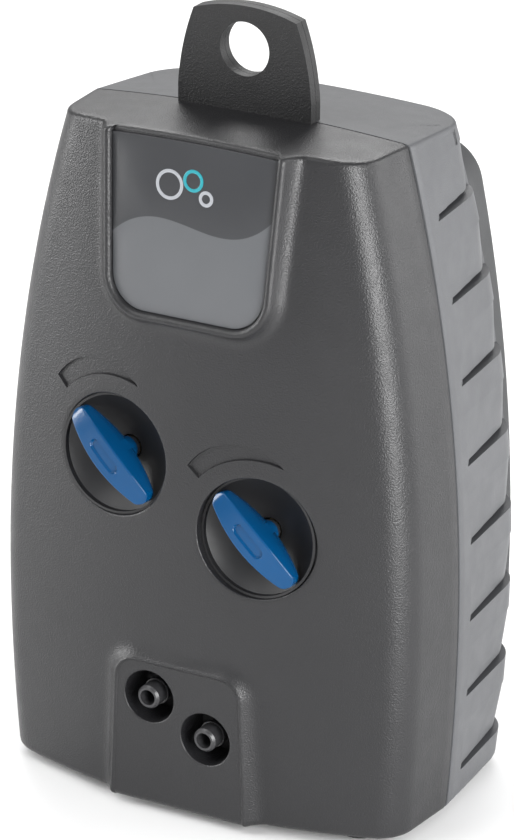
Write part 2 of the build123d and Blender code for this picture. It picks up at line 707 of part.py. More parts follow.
def coil_core():
    """The laminated iron core: a bar with a tall pole shoe at each end."""
    half = CORE_SIDE / 2
    bar = box((-POLE_X, CORE_Y - half, CORE_Z - half), (POLE_X, CORE_Y + half, CORE_Z + half))
    for side in (-1, 1):
        low_x, high_x = sorted((side * 11.6, side * POLE_X))
        reach = POLE_H / 2
        bar += box((low_x, CORE_Y - half, CORE_Z - reach), (high_x, CORE_Y + half, CORE_Z + reach))
    return bar


def coil_bobbin():
    """The winding's former, with a cheek at each end."""
    half, length, cheek = CORE_SIDE / 2 + 0.1, 11.4, 8.8
    outer = half + 1
    sleeve = box((-length, CORE_Y - outer, CORE_Z - outer), (length, CORE_Y + outer, CORE_Z + outer))
    for side in (-1, 1):
        low_x, high_x = sorted((side * (length - 1.4), side * length))
        sleeve += box((low_x, CORE_Y - cheek, CORE_Z - cheek), (high_x, CORE_Y + cheek, CORE_Z + cheek))
    return sleeve - box((-20, CORE_Y - half, CORE_Z - half), (20, CORE_Y + half, CORE_Z + half))


def coil_winding():
    """The copper winding on its former."""
    inner, outer, length = CORE_SIDE / 2 + 1.1, 8.2, 10.0
    block = box((-length, CORE_Y - outer, CORE_Z - outer), (length, CORE_Y + outer, CORE_Z + outer))
    block = fillet(block.edges().filter_by(Axis.X), 2.5)
    return block - box((-20, CORE_Y - inner, CORE_Z - inner), (20, CORE_Y + inner, CORE_Z + inner))


def terminal_block():
    """The mains terminal block on the chassis, with two screw wells."""
    block = box((-9, 12, 27), (9, CHASSIS_Y, 37))
    for x in (-4.5, 4.5):
        block -= along((x, 11, 33), (x, 16, 33), 2.0)
        block -= along((x, 15.5, 26), (x, 15.5, 31), 1.6)
    return block


def arm_x():
    """The inner and outer faces of a swing arm."""
    inner = POLE_X + AIR_GAP + MAGNET_T
    return inner, inner + ARM_T


def swing_arm(side):
    """The lever that carries the magnet and drives the diaphragm."""
    inner, outer = arm_x()
    arm = box((inner, 4, PUMP_Z - 4), (outer, 10, PIVOT_Z))
    eye_x = (inner + outer) / 2
    arm += along((eye_x, 3, PIVOT_Z), (eye_x, 13, PIVOT_Z), 3.2)
    arm += box((inner, 2, CORE_Z - 8), (outer, 12, CORE_Z + 8))
    arm -= along((eye_x, 0, PIVOT_Z), (eye_x, 20, PIVOT_Z), PIVOT_R + RUN_FIT)
    return mirrored(arm, side)


def arm_magnet(side):
    """The magnet on the arm's inner face, opposite the core's pole."""
    inner = arm_x()[0]
    return mirrored(box((inner - MAGNET_T, 2.5, CORE_Z - 7), (inner, 11.5, CORE_Z + 7)), side)


def arm_pivot_pin(side):
    """The headed pin that an arm swings on."""
    x = sum(arm_x()) / 2
    pin = along((x, 1.7, PIVOT_Z), (x, CHASSIS_Y + CHASSIS_T, PIVOT_Z), PIVOT_R)
    return mirrored(pin + along((x, 1.4, PIVOT_Z), (x, 2.7, PIVOT_Z), 2.6), side)


def diaphragm_clamp(side):
    """The disc and stud that tie the arm to the diaphragm's middle."""
    outer = arm_x()[1]
    disc_r, disc_end = 5.0, STUD_END_X + 1.5
    profile = [(0, outer), (1.5, outer), (1.5, STUD_END_X), (disc_r, STUD_END_X), (disc_r, disc_end),
               (0, disc_end)]
    return mirrored(x_turned(profile, PUMP_Y, PUMP_Z), side)


def diaphragm(side):
    """The rubber diaphragm: a clamped rim and a thin flexing web."""
    rim_end = CHAMBER_X[0]
    profile = [(5.6, 25.5), (8.0, 25.1), (9.6, 25.5), (9.6, 25.0), (PUMP_R, 25.0), (PUMP_R, rim_end),
               (9.4, rim_end), (9.4, 26.5), (8.0, 26.1), (5.6, 26.5)]
    return mirrored(x_turned(profile, PUMP_Y, PUMP_Z), side)


def pump_chamber(side):
    """The chamber body: a round hollow, two valve windows and a foot on the chassis."""
    low, high = CHAMBER_X
    body = x_turned([(0, low), (PUMP_R, low), (PUMP_R, high), (0, high)], PUMP_Y, PUMP_Z)
    body += box((low, 14, PUMP_Z - 8), (high, CHASSIS_Y, PUMP_Z + 8))
    body -= x_turned([(0, low - 1), (9.0, low - 1), (9.0, high - 1), (0, high - 1)], PUMP_Y, PUMP_Z)
    for dz in (-PORT_OFFSET, PORT_OFFSET):
        body -= along((high - 2, PUMP_Y, PUMP_Z + dz), (high + 1, PUMP_Y, PUMP_Z + dz), 3.4)
    return mirrored(body, side)


def valve_plate(side):
    """The plate with an intake port below and an exhaust port above."""
    low, high = VALVE_PLATE_X
    plate = x_turned([(0, low), (PUMP_R, low), (PUMP_R, high), (0, high)], PUMP_Y, PUMP_Z)
    for dz in (-PORT_OFFSET, PORT_OFFSET):
        plate -= along((low - 1, PUMP_Y, PUMP_Z + dz), (high + 1, PUMP_Y, PUMP_Z + dz), 1.4)
    return mirrored(plate, side)


def flap(side, x, dz):
    """A thin rubber valve disc."""
    start = (x, PUMP_Y, PUMP_Z + dz)
    end = (x + 0.5, PUMP_Y, PUMP_Z + dz)
    return mirrored(along(start, end, 3.0), side)


def chamber_cover(side):
    """The outer cover: an intake hole below, and an exhaust pocket with a spigot above."""
    low, high = COVER_X
    edge = 0.8
    profile = [(0, low), (PUMP_R, low), (PUMP_R, high - edge), (PUMP_R - edge, high), (0, high)]
    cover = x_turned(profile, PUMP_Y, PUMP_Z)
    middle_x = (low + high) / 2
    spigot_top = PUMP_Z + PUMP_R + 6
    intake_z, exhaust_z = PUMP_Z - PORT_OFFSET, PUMP_Z + PORT_OFFSET
    cover += along((middle_x, PUMP_Y, PUMP_Z + 8), (middle_x, PUMP_Y, spigot_top), SPIGOT_R)
    cover -= along((low - 1, PUMP_Y, exhaust_z), (high - 1, PUMP_Y, exhaust_z), 3.4)
    cover -= along((low - 1, PUMP_Y, intake_z), (high + 1, PUMP_Y, intake_z), 1.8)
    cover -= along((middle_x, PUMP_Y, PUMP_Z + 6), (middle_x, PUMP_Y, spigot_top + 1), 0.9)
    return mirrored(cover, side)


def port_point(side, local):
    """A point given in a knob's frame, in the seam frame."""
    return tuple(knob_plane(side).from_local_coords(Vector(*local)))


def supply_hose(side):
    """The hose from a chamber's spigot, over the top, to the regulator's inlet."""
    start_x = side * (COVER_X[0] + COVER_X[1]) / 2
    spigot_z = PUMP_Z + PUMP_R + 1
    end = port_point(side, (side * 6.2, 0, PORT_N))
    turn_back = port_point(side, (side * 20.5, 0, PORT_N))
    over = (start_x, PUMP_Y, 92.0)
    down = (turn_back[0], turn_back[1], 91.0)
    points = [(start_x, PUMP_Y, spigot_z), over, down, turn_back, end]
    return tube(points, [6.5, 6.5, 6.0], HOSE_R, HOSE_BORE_R)


def outlet_hose(side):
    """The hose from the regulator's outlet down to the nozzle's tail."""
    start = port_point(side, (0, -6.2, PORT_N))
    low_point = port_point(side, (0, -20, PORT_N))
    x, z = NOZZLE_AT[side]
    tail = NOZZLE_PAD_Y + NOZZLE_POCKET_DEPTH + POCKET_WALL + NOZZLE_FLANGE_T + 0.2
    middle = (side * 11.0, 1.0, (low_point[2] + z) / 2 + 1)
    points = [start, low_point, middle, (x, 5.0, z), (x, tail, z)]
    return tube(points, [12.0, 12.0, 5.5], HOSE_R, HOSE_R - 0.6)


def chassis_isolators():
    """The four rubber mounts behind the chassis."""
    start = CHASSIS_Y + CHASSIS_T
    rings = []
    for x, z in ISOLATORS:
        profile = [(1.6, start), (ISOLATOR_R, start), (ISOLATOR_R - 1.2, start + ISOLATOR_L / 2),
                   (ISOLATOR_R, start + ISOLATOR_L), (1.6, start + ISOLATOR_L)]
        rings.append(y_turned(profile, x, z))
    return rings


def chassis_screws():
    """The four screws through the chassis and its mounts into the rear shell."""
    screws = []
    for x, z in ISOLATORS:
        shaft = along((x, CHASSIS_Y - 0.5, z), (x, 30.5, z), SCREW_R - 0.02)
        screws.append(shaft + along((x, CHASSIS_Y - 2, z), (x, CHASSIS_Y, z), 3.0))
    return screws


# ---------------------------------------------------------------- assembly
def sides(name, make):
    """A left and a right piece from one function."""
    return {f"{name}_left": make(-1), f"{name}_right": make(1)}


def all_pieces():
    """Every piece, by node name."""
    front_outer, front_inner = front_body(0), front_body(FRONT_WALL)
    rear_outer, rear_inner = rear_body(0), rear_body(REAR_WALL)
    cover_clear = rear_body(-0.05) + front_body(-0.05)
    plates = (hanger_plate(-0.05, HANGER_FRONT_Y), hanger_plate(HANGER_REAR_Y, 0.05))
    pieces = {
        "front_shell": front_shell(front_outer, front_inner),
        "rear_shell": rear_shell(rear_outer, rear_inner),
        "housing_gasket": housing_gasket(),
        "label_plate": label_plate(),
        "rear_filter_cover": rear_filter_cover() - cover_clear,
        "intake_filter_foam": intake_filter_foam(),
        "hanger_front_plate": plates[0],
        "hanger_rear_plate": plates[1],
        "hanger_pins": hanger_pins(),
        "cord_gland": cord_gland() - (rear_outer - rear_inner - gland_hole()),
        "housing_screws": housing_screws(),
        "pump_chassis": pump_chassis(),
        "chassis_isolators": chassis_isolators(),
        "chassis_screws": chassis_screws(),
        "coil_core": coil_core(),
        "coil_bobbin": coil_bobbin(),
        "coil_winding": coil_winding(),
        "terminal_block": terminal_block(),
    }
    for name in FEET:
        pieces[f"foot_{name}"] = foot(name)
    pieces |= sides("control_knob", knob)
    pieces |= sides("knob_well", well)
    pieces |= sides("regulator_spindle", regulator_spindle)
    pieces |= sides("regulator_body", regulator_body)
    pieces |= sides("spindle_seal", spindle_seal)
    pieces |= sides("nozzle", nozzle)
    pieces |= sides("swing_arm", swing_arm)
    pieces |= sides("arm_magnet", arm_magnet)
    pieces |= sides("arm_pivot_pin", arm_pivot_pin)
    pieces |= sides("diaphragm", diaphragm)
    pieces |= sides("diaphragm_clamp", diaphragm_clamp)
    pieces |= sides("pump_chamber", pump_chamber)
    pieces |= sides("valve_plate", valve_plate)
    pieces |= sides("intake_flap", lambda side: flap(side, CHAMBER_X[1] - 0.5, -PORT_OFFSET))
    pieces |= sides("exhaust_flap", lambda side: flap(side, VALVE_PLATE_X[1], PORT_OFFSET))
    pieces |= sides("chamber_cover", chamber_cover)
    pieces |= sides("supply_hose", supply_hose)
    pieces |= sides("outlet_hose", outlet_hose)
    return pieces


def as_one(piece):
    """A single part, or a compound of a group's separate solids."""
    if isinstance(piece, list):
        return Compound(children=[solid for part in piece for solid in part.solids()])
    solids = piece.solids()
    return solids[0] if len(solids) == 1 else Compound(children=solids)


os.makedirs("parts", exist_ok=True)
for node, piece in all_pieces().items():
    export_step(as_one(piece).moved(TO_ROW_FRAME), f"parts/{node}.step")
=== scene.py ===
import json
import math

import bmesh
import bpy
import numpy as np
from mathutils import Matrix, Vector
from mathutils.geometry import delaunay_2d_cdt
from mathutils.kdtree import KDTree


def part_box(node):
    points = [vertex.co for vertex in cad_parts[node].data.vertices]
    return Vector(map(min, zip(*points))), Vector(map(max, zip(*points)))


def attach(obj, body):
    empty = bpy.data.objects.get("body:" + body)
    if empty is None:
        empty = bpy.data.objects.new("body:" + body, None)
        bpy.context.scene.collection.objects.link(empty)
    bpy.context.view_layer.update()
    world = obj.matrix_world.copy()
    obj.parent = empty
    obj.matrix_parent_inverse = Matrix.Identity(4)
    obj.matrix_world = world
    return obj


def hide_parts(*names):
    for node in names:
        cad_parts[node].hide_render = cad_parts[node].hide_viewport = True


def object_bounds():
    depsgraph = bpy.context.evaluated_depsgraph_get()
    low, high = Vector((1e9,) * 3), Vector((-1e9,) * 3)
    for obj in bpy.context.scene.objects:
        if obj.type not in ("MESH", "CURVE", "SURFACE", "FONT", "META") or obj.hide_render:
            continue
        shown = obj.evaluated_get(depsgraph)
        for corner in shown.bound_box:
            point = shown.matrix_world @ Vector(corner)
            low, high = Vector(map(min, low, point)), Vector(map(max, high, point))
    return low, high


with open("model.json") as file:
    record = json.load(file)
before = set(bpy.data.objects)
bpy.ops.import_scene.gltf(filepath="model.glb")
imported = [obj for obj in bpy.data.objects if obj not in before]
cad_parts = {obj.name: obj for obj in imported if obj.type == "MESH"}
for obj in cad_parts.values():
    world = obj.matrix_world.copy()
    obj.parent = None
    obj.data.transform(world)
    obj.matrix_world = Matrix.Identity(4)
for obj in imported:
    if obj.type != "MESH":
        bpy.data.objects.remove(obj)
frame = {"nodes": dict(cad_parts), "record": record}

CAD_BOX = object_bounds()
MM = 0.001
NODES = frame["nodes"]

# The shells meet at the seam plane. The design's own frame has that plane at y = 0 and
# the housing's underside at z = 0; the shapes below are worked out in it, in millimetres.
SEAM_Y = sum(corner.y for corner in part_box("housing_gasket")) / 2
UNDERSIDE_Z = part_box("front_shell")[0].z


def place(x, y, z):
    """A point of the design frame, in millimetres, as a point of the row frame in metres."""
    return Vector((x * MM, y * MM + SEAM_Y, z * MM + UNDERSIDE_Z))


# ---------------------------------------------------------------- camera
CAMERA_AZIMUTH = math.radians(29.13)
CAMERA_ELEVATION = math.radians(22.18)
CAMERA_ROLL = math.radians(0.36)
CAMERA_DISTANCE = 0.93685
CAMERA_TARGET = place(0, 0, 72.12)
CAMERA_LENS = 199.1
CAMERA_SHIFT = (0.0119, 0.0196)


def make_camera():
    """The camera at the photograph's viewing angle."""
    data = bpy.data.cameras.new("camera")
    data.sensor_width = 36
    data.lens = CAMERA_LENS
    data.shift_x, data.shift_y = CAMERA_SHIFT
    data.clip_start = 0.05
    data.clip_end = 20
    camera = bpy.data.objects.new("camera", data)
    bpy.context.scene.collection.objects.link(camera)
    azimuth, elevation = CAMERA_AZIMUTH, CAMERA_ELEVATION
    back = Vector((math.sin(azimuth) * math.cos(elevation),
                   -math.cos(azimuth) * math.cos(elevation), math.sin(elevation)))
    level = Vector((math.cos(azimuth), math.sin(azimuth), 0))
    upright = back.cross(level)
    right = level * math.cos(CAMERA_ROLL) + upright * math.sin(CAMERA_ROLL)
    up = back.cross(right)
    turn = Matrix((right, up, back)).transposed()
    camera.matrix_world = Matrix.Translation(CAMERA_TARGET + back * CAMERA_DISTANCE) @ turn.to_4x4()
    bpy.context.scene.camera = camera


# ---------------------------------------------------------------- materials
class Shader:
    """A Principled material with small helpers for procedural detail."""

    def __init__(self, name, colour, roughness):
        self.material = bpy.data.materials.new(name)
        self.material.use_nodes = True
        self.nodes = self.material.node_tree.nodes
        self.links = self.material.node_tree.links
        self.main = self.nodes["Principled BSDF"]
        self.main.inputs["Base Color"].default_value = (*colour, 1)
        self.main.inputs["Roughness"].default_value = roughness
        self.place = self.nodes.new("ShaderNodeTexCoord").outputs["Object"]

    def noise(self, scale, detail=4):
        """A noise value between 0 and 1; scale is in waves per metre."""
        node = self.nodes.new("ShaderNodeTexNoise")
        node.inputs["Scale"].default_value = scale
        node.inputs["Detail"].default_value = detail
        self.links.new(self.place, node.inputs["Vector"])
        return node.outputs["Fac"]

    def cells(self, scale, feature="SMOOTH_F1"):
        """Rounded cells, as in moulded leather grain."""
        node = self.nodes.new("ShaderNodeTexVoronoi")
        node.feature = feature
        node.inputs["Scale"].default_value = scale
        self.links.new(self.place, node.inputs["Vector"])
        return node.outputs["Distance"]

    def ramp(self, value, low, high, at=(0.35, 0.65)):
        """A colour that runs from low to high as the value rises."""
        node = self.nodes.new("ShaderNodeValToRGB")
        node.color_ramp.elements[0].position, node.color_ramp.elements[1].position = at
        node.color_ramp.elements[0].color = (*low, 1)
        node.color_ramp.elements[1].color = (*high, 1)
        self.links.new(value, node.inputs["Fac"])
        return node.outputs["Color"]

    def span(self, value, low, high, start=0.3, end=0.7):
        """A number that runs from low to high as the value goes from start to end."""
        node = self.nodes.new("ShaderNodeMapRange")
        node.inputs["From Min"].default_value = start
        node.inputs["From Max"].default_value = end
        node.inputs["To Min"].default_value = low
        node.inputs["To Max"].default_value = high
        self.links.new(value, node.inputs["Value"])
        return node.outputs["Result"]

    def bump(self, height, depth):
        """Surface relief, depth in metres; relief already there is kept."""
        node = self.nodes.new("ShaderNodeBump")
        node.inputs["Strength"].default_value = 1.0
        node.inputs["Distance"].default_value = depth
        self.links.new(height, node.inputs["Height"])
        before = self.main.inputs["Normal"].links
        if before:
            self.links.new(before[0].from_socket, node.inputs["Normal"])
        self.links.new(node.outputs["Normal"], self.main.inputs["Normal"])

    def colour(self, socket):
        self.links.new(socket, self.main.inputs["Base Color"])

    def roughness(self, socket):
        self.links.new(socket, self.main.inputs["Roughness"])


def scaled(colour, factor):
    """A colour made lighter or darker."""
    return tuple(min(1.0, part * factor) for part in colour)


def moulded(name, colour, roughness, grain=0.0, grain_scale=1600, spread=0.06, patchy=0.05):
    """Moulded plastic: fine grain, slow colour drift and uneven gloss."""
    made = Shader(name, colour, roughness)
    drift = made.noise(34, detail=3)
    made.colour(made.ramp(drift, scaled(colour, 1 - spread), scaled(colour, 1 + spread)))
    made.roughness(made.span(made.noise(190, detail=5), roughness - patchy, roughness + patchy))
    made.bump(made.noise(5200, detail=2), 0.00001 + 0.3 * grain)
    if grain:
        made.bump(made.cells(grain_scale), grain)
    return made.material


def metal(name, colour, roughness):
    """Worked metal with fine scratches and tarnish."""
    made = Shader(name, colour, roughness)
    made.main.inputs["Metallic"].default_value = 1.0
    made.colour(made.ramp(made.noise(120, detail=5), scaled(colour, 0.8), scaled(colour, 1.1)))
    made.roughness(made.span(made.noise(900, detail=6), roughness - 0.08, roughness + 0.12))
    made.bump(made.noise(4000, detail=4), 0.00001)
    return made.material


KNOB_SPECULAR = 0.32    # less than Principled's default of 0.5, for a weaker reflection


def main_materials():
    """Every material, by the record's slot name, or by node where one differs from its slot."""
    made = {
        "shell_front": moulded("front_shell_grain", (0.012, 0.012, 0.0133), 0.38, 0.00007, 3300),
        "rear_filter_cover": moulded("filter_cover_satin", (0.035, 0.036, 0.038), 0.6, 0.00003, 2400),
        "shell_rear": moulded("rear_shell_satin", (0.068, 0.07, 0.075), 0.44, 0.00003, 3300),
        "hanger_black": moulded("hanger_black_grain", (0.005, 0.005, 0.0055), 0.5, 0.00007, 3300),
        "knob_blue": moulded("knob_blue_gloss", (0.0, 0.047, 0.14), 0.14, patchy=0.02),
        "well_black": moulded("well_black_satin", (0.010, 0.010, 0.011), 0.5),
        "nozzle_black": moulded("nozzle_black_satin", (0.03, 0.03, 0.032), 0.3),
        "soft_black": moulded("soft_rubber", (0.012, 0.012, 0.013), 0.72, 0.00004, 2600),
        "foam": foam(),
        "screw_steel": metal("zinc_steel", (0.55, 0.55, 0.57), 0.34),
        "core_steel": laminated(),
        "winding": copper_winding(),
        "bobbin": moulded("bobbin_nylon", (0.72, 0.70, 0.64), 0.5),
        "inner_plastic": moulded("inner_black_plastic", (0.045, 0.046, 0.05), 0.5, 0.00003, 1400),
        "inner_light": moulded("inner_grey_plastic", (0.48, 0.49, 0.50), 0.5, 0.00002, 1500),
        "arm_metal": metal("stamped_aluminium", (0.68, 0.68, 0.70), 0.36),
        "magnet": metal("sintered_magnet", (0.13, 0.13, 0.14), 0.6),
        "hose": moulded("silicone_hose", (0.55, 0.56, 0.57), 0.45),
        "spindle_brass": metal("turned_brass", (0.72, 0.52, 0.22), 0.28),
        "pad_label": moulded("label_grey", (0.029, 0.03, 0.033), 0.3, patchy=0.015),
    }
    knob = made["knob_blue"].node_tree.nodes["Principled BSDF"]
    knob.inputs["Specular IOR Level"].default_value = KNOB_SPECULAR
    return made


def foam():
    """Open-cell foam: deep irregular pores."""
    made = Shader("open_cell_foam", (0.05, 0.055, 0.06), 0.95)
    pores = made.cells(900, feature="F1")
    made.colour(made.ramp(pores, (0.09, 0.095, 0.1), (0.012, 0.013, 0.015), at=(0.2, 0.7)))
    made.bump(pores, 0.0008)
    made.bump(made.noise(2500), 0.0002)
    return made.material


def laminated():
    """A stack of thin iron sheets."""
    made = Shader("iron_laminations", (0.3, 0.3, 0.31), 0.45)
    made.main.inputs["Metallic"].default_value = 1.0
    sheets = made.nodes.new("ShaderNodeTexWave")
    sheets.bands_direction = "Y"
    sheets.inputs["Scale"].default_value = 320
    sheets.inputs["Distortion"].default_value = 0.2
    made.links.new(made.place, sheets.inputs["Vector"])
    made.colour(made.ramp(sheets.outputs["Fac"], (0.12, 0.12, 0.13), (0.36, 0.36, 0.37)))
    made.roughness(made.span(made.noise(700), 0.35, 0.6))
    made.bump(sheets.outputs["Fac"], 0.00008)
    return made.material


def copper_winding():
    """Enamelled copper wire wound along the core."""
    made = Shader("copper_wire", (0.62, 0.25, 0.1), 0.35)
    made.main.inputs["Metallic"].default_value = 1.0
    turns = made.nodes.new("ShaderNodeTexWave")
    turns.bands_direction = "X"
    turns.inputs["Scale"].default_value = 500
    turns.inputs["Distortion"].default_value = 0.4
    made.links.new(made.place, turns.inputs["Vector"])
    made.colour(made.ramp(turns.outputs["Fac"], (0.28, 0.09, 0.03), (0.70, 0.30, 0.13)))
    made.roughness(made.span(made.noise(400), 0.25, 0.45))
    made.bump(turns.outputs["Fac"], 0.00012)
    return made.material


def dress_nodes(materials):
    """Give every carried-over CAD node its material, smooth shading and softened edges."""
    slots = {part["node"]: part["material_slot"] for part in frame["record"]["subparts"]}
    for name, node in NODES.items():
        node.data.materials.clear()
        node.data.materials.append(materials.get(name) or materials[slots[name]])
        for face in node.data.polygons:
            face.use_smooth = True
            face.material_index = 0
        soften = node.modifiers.new("soft_edges", "BEVEL")
        soften.width = 0.00018
        soften.segments = 2
        soften.limit_method = "ANGLE"
        soften.angle_limit = math.radians(35)
        soften.use_clamp_overlap = True
        soften.harden_normals = True


# ---------------------------------------------------------------- the housing's shape, in millimetres
BODY_H = 140.0
HALF_W = 48.65          # widest half width at the seam
WIDEST_Z = 42.0         # the height it is reached at
R_SIDE_UP, R_SIDE_DOWN = 370.0, 490.0
TOP_R = 409.0           # the top is crowned on this radius
CROWN = 1.5
FRONT_PLAN_R = 123.0
FRONT_DRAFT = math.tan(math.radians(5.5))
REAR_DRAFT = math.tan(math.radians(4.5))
FRONT_CORNER_R, REAR_CORNER_R = 8.0, 11.0
REAR_TOP_SLOPE = math.tan(math.radians(5.5))
SEAM_EDGE_Y = 0.25
TOP_ROUND, BOTTOM_ROUND, SEAM_ROUND = 1.0, 1.5, 0.3
RETURN = 2.2            # how far the shells' edges turn in
CAP_MARGIN = 5.0        # the caps' rows lean in by this much towards the seam


def half_width(z):
    """Half width of the side curve at a height."""
    r = R_SIDE_UP if z > WIDEST_Z else R_SIDE_DOWN
    return HALF_W - r + math.sqrt(r * r - (z - WIDEST_Z) ** 2)


def front_y(z):
    """The front's y on the centre line."""
    return -26.7 - 0.0427 * z + 0.000606 * z * z


def back_y(z):
    """The back's y: slightly bowed."""
    return 35.7 - 0.00068 * (z - 45.0) ** 2


def crown(x):
    """How far the top's crown stands above the height of the sides."""
    return CROWN - TOP_R + math.sqrt(TOP_R ** 2 - x * x)


AXIS_Y = front_y(0) + FRONT_PLAN_R


def front_base(x, z):
    """The front without its pads: a surface of revolution about an upright axis."""
    return AXIS_Y - math.sqrt((AXIS_Y - front_y(z)) ** 2 - x * x)


def front_corner(z):
    """The corner arc between front and side: where it leaves the front, its centre, its end."""
    big = AXIS_Y - front_y(z) - FRONT_CORNER_R
    slant = math.sqrt(1 + FRONT_DRAFT ** 2)
    offset = half_width(z) - FRONT_CORNER_R * slant
    # the centre (offset + draft * y, y) lies at distance big from the axis
    a = 1 + FRONT_DRAFT ** 2
    b = 2 * (offset * FRONT_DRAFT - AXIS_Y)
    c = offset ** 2 + AXIS_Y ** 2 - big ** 2
    y = (-b - math.sqrt(b * b - 4 * a * c)) / (2 * a)
    x = offset + FRONT_DRAFT * y
    grow = (big + FRONT_CORNER_R) / big
    start = (x * grow, AXIS_Y + (y - AXIS_Y) * grow)
    end = (x + FRONT_CORNER_R / slant, y - FRONT_CORNER_R * FRONT_DRAFT / slant)
    return start, (x, y), end


def arc_points(start, centre, end, steps):
    """Points along the short arc from start to end about centre."""
    r = math.dist(start, centre)
    a = math.atan2(start[1] - centre[1], start[0] - centre[0])
    sweep = math.atan2(end[1] - centre[1], end[0] - centre[0]) - a
    sweep = (sweep + math.pi) % (2 * math.pi) - math.pi
    return [(centre[0] + r * math.cos(a + sweep * i / steps), centre[1] + r * math.sin(a + sweep * i / steps))
            for i in range(steps + 1)]


# ---------------------------------------------------------------- outlines on the front
def rounded(corners, radii, step=0.6):
    """A closed outline: corners joined by straight lines, each corner rounded by its radius."""
    points = []
    count = len(corners)
    for i, (corner, r) in enumerate(zip(corners, radii)):
        here = Vector(corner)
        back = (Vector(corners[i - 1]) - here).normalized()
        ahead = (Vector(corners[(i + 1) % count]) - here).normalized()
        if r == 0:
            points.append(tuple(here))
            continue
        half = back.angle(ahead) / 2
        reach = r / math.tan(half)
        middle = here + (back + ahead).normalized() * (r / math.sin(half))
        steps = max(4, round(r * (math.pi - 2 * half) / step))
        points += arc_points(here + back * reach, middle, here + ahead * reach, steps)
    return divided(points, step * 2)


def divided(points, longest):
    """A closed outline with its long runs divided."""
    result = []
    for i, start in enumerate(points):
        end = points[(i + 1) % len(points)]
        steps = max(1, math.ceil(math.dist(start, end) / longest))
        result += [(start[0] + (end[0] - start[0]) * k / steps, start[1] + (end[1] - start[1]) * k / steps)
                   for k in range(steps)]
    return result


class Outline:
    """A closed outline on the front, with signed distance (negative inside)."""

    def __init__(self, points):
        self.points = np.array(points)
        following = np.roll(self.points, -1, axis=0)
        area = (self.points[:, 0] * following[:, 1] - following[:, 0] * self.points[:, 1]).sum()
        if area < 0:
            self.points = self.points[::-1].copy()

    def distance(self, x, z):
        start = self.points
        run = np.roll(start, -1, axis=0) - start
        rel = np.array((x, z)) - start
        share = np.clip((rel * run).sum(1) / (run * run).sum(1), 0, 1)
        gap = np.sqrt(((rel - run * share[:, None]) ** 2).sum(1)).min()
        above = start[:, 1] > z
        crosses = above != np.roll(above, -1)
        with np.errstate(divide="ignore", invalid="ignore"):
            at = start[:, 0] + (z - start[:, 1]) / run[:, 1] * run[:, 0]
        inside = (crosses & (x < at)).sum() % 2 == 1
        return -gap if inside else gap

    def ring(self, offset):
        """The outline moved outwards by offset."""
        ahead = np.roll(self.points, -1, axis=0) - np.roll(self.points, 1, axis=0)
        normal = np.stack((ahead[:, 1], -ahead[:, 0]), 1)
        normal /= np.linalg.norm(normal, axis=1)[:, None]
        return self.points + normal * offset


def shield(half_top, half_low, height, corner, over=12.0):
    """A pad that runs out over the top edge and has two rounded lower corners."""
    half_over = half_top + (half_top - half_low) / height * over
    low, high = BODY_H - height, BODY_H + over
    corners = [(-half_over, high), (-half_low, low), (half_low, low), (half_over, high)]
    return Outline(rounded(corners, (0, corner, corner, 0)))


LABEL_PAD = shield(20.2, 18.3, 36.4, 9.0)
LABEL_RIM_W = 1.6
LABEL_RIM_H = 0.55
LABEL_RECESS = 1.0
RECESS_WALL = 0.15
LABEL_FOOT = 2.7
PAD_TOP_Y = -21.9
PAD_LEAN = math.tan(math.radians(5.55))
NOZZLE_PAD = Outline(rounded([(-16.3, -10.0), (16.3, -10.0), (14.6, 32.4), (-14.6, 32.4)], (0, 0, 5.0, 5.0)))
NOZZLE_PAD_Y = -28.1
NOZZLE_FOOT = 3.4
NOZZLE_RIM_W, NOZZLE_RIM_H = 1.0, 0.3
NOZZLE_AT = ((-6.6, 24.1), (6.4, 17.6))
POCKET_R, POCKET_DEPTH, POCKET_FLOOR_R = 5.6, 8.5, 2.6
KNOB_X, KNOB_Y, KNOB_ZS = 16.28, -25.7, {-1: 73.95, 1: 62.68}
KNOB_LEAN, KNOB_TURN = math.radians(4.55), math.radians(2.76)
WELL_R, COLLAR_DEPTH = 12.6, 4.2
HOLE_ROUND = 0.35
CRESCENT_INNER_R, CRESCENT_OUTER_R, CRESCENT_OUTER_AT = 16.4, 13.4, (-3.6, 5.8)
CRESCENT_START = math.radians(139)
CRESCENT_DEPTH, CRESCENT_WALL = 0.6, 0.16
# heights between which each kind of relief lies
LABEL_ZONE_Z, NOZZLE_ZONE_Z = 95, 42
CRESCENT_ZONE_Z = (60, 95)


def knob_frame(side):
    """Centre, rightward, upward and outward directions of a knob's rim."""
    out = Vector((side * math.sin(KNOB_TURN) * math.cos(KNOB_LEAN),
                  -math.cos(KNOB_TURN) * math.cos(KNOB_LEAN), math.sin(KNOB_LEAN)))
    right = Vector((math.cos(KNOB_TURN), side * math.sin(KNOB_TURN), 0))
    return Vector((side * KNOB_X, KNOB_Y, KNOB_ZS[side])), right, out.cross(right), out


def crescent(side):
    """The tapering scale mark round the upper left of a knob, as an outline on the front."""
    off = Vector(CRESCENT_OUTER_AT)
    turn, length = math.atan2(off.y, off.x), off.length
    # the two circles meet where the mark's tip is
    along = (CRESCENT_INNER_R ** 2 - CRESCENT_OUTER_R ** 2 + length ** 2) / (2 * length)
    tip = turn - math.acos(along / CRESCENT_INNER_R)
    ray = Vector((math.cos(CRESCENT_START), math.sin(CRESCENT_START)))
    reach = ray.dot(off) + math.sqrt(ray.dot(off) ** 2 - length ** 2 + CRESCENT_OUTER_R ** 2)
    tip_point = Vector((math.cos(tip), math.sin(tip))) * CRESCENT_INNER_R
    outer = arc_points(ray * reach, off, tip_point, 40)
    inner = arc_points(tip_point, (0, 0), ray * CRESCENT_INNER_R, 44)
    centre, right, up, _ = knob_frame(side)
    flat = [centre + right * x + up * y for x, y in divided(outer + inner[1:], 0.8)]
    return Outline([(p.x, p.z) for p in flat])


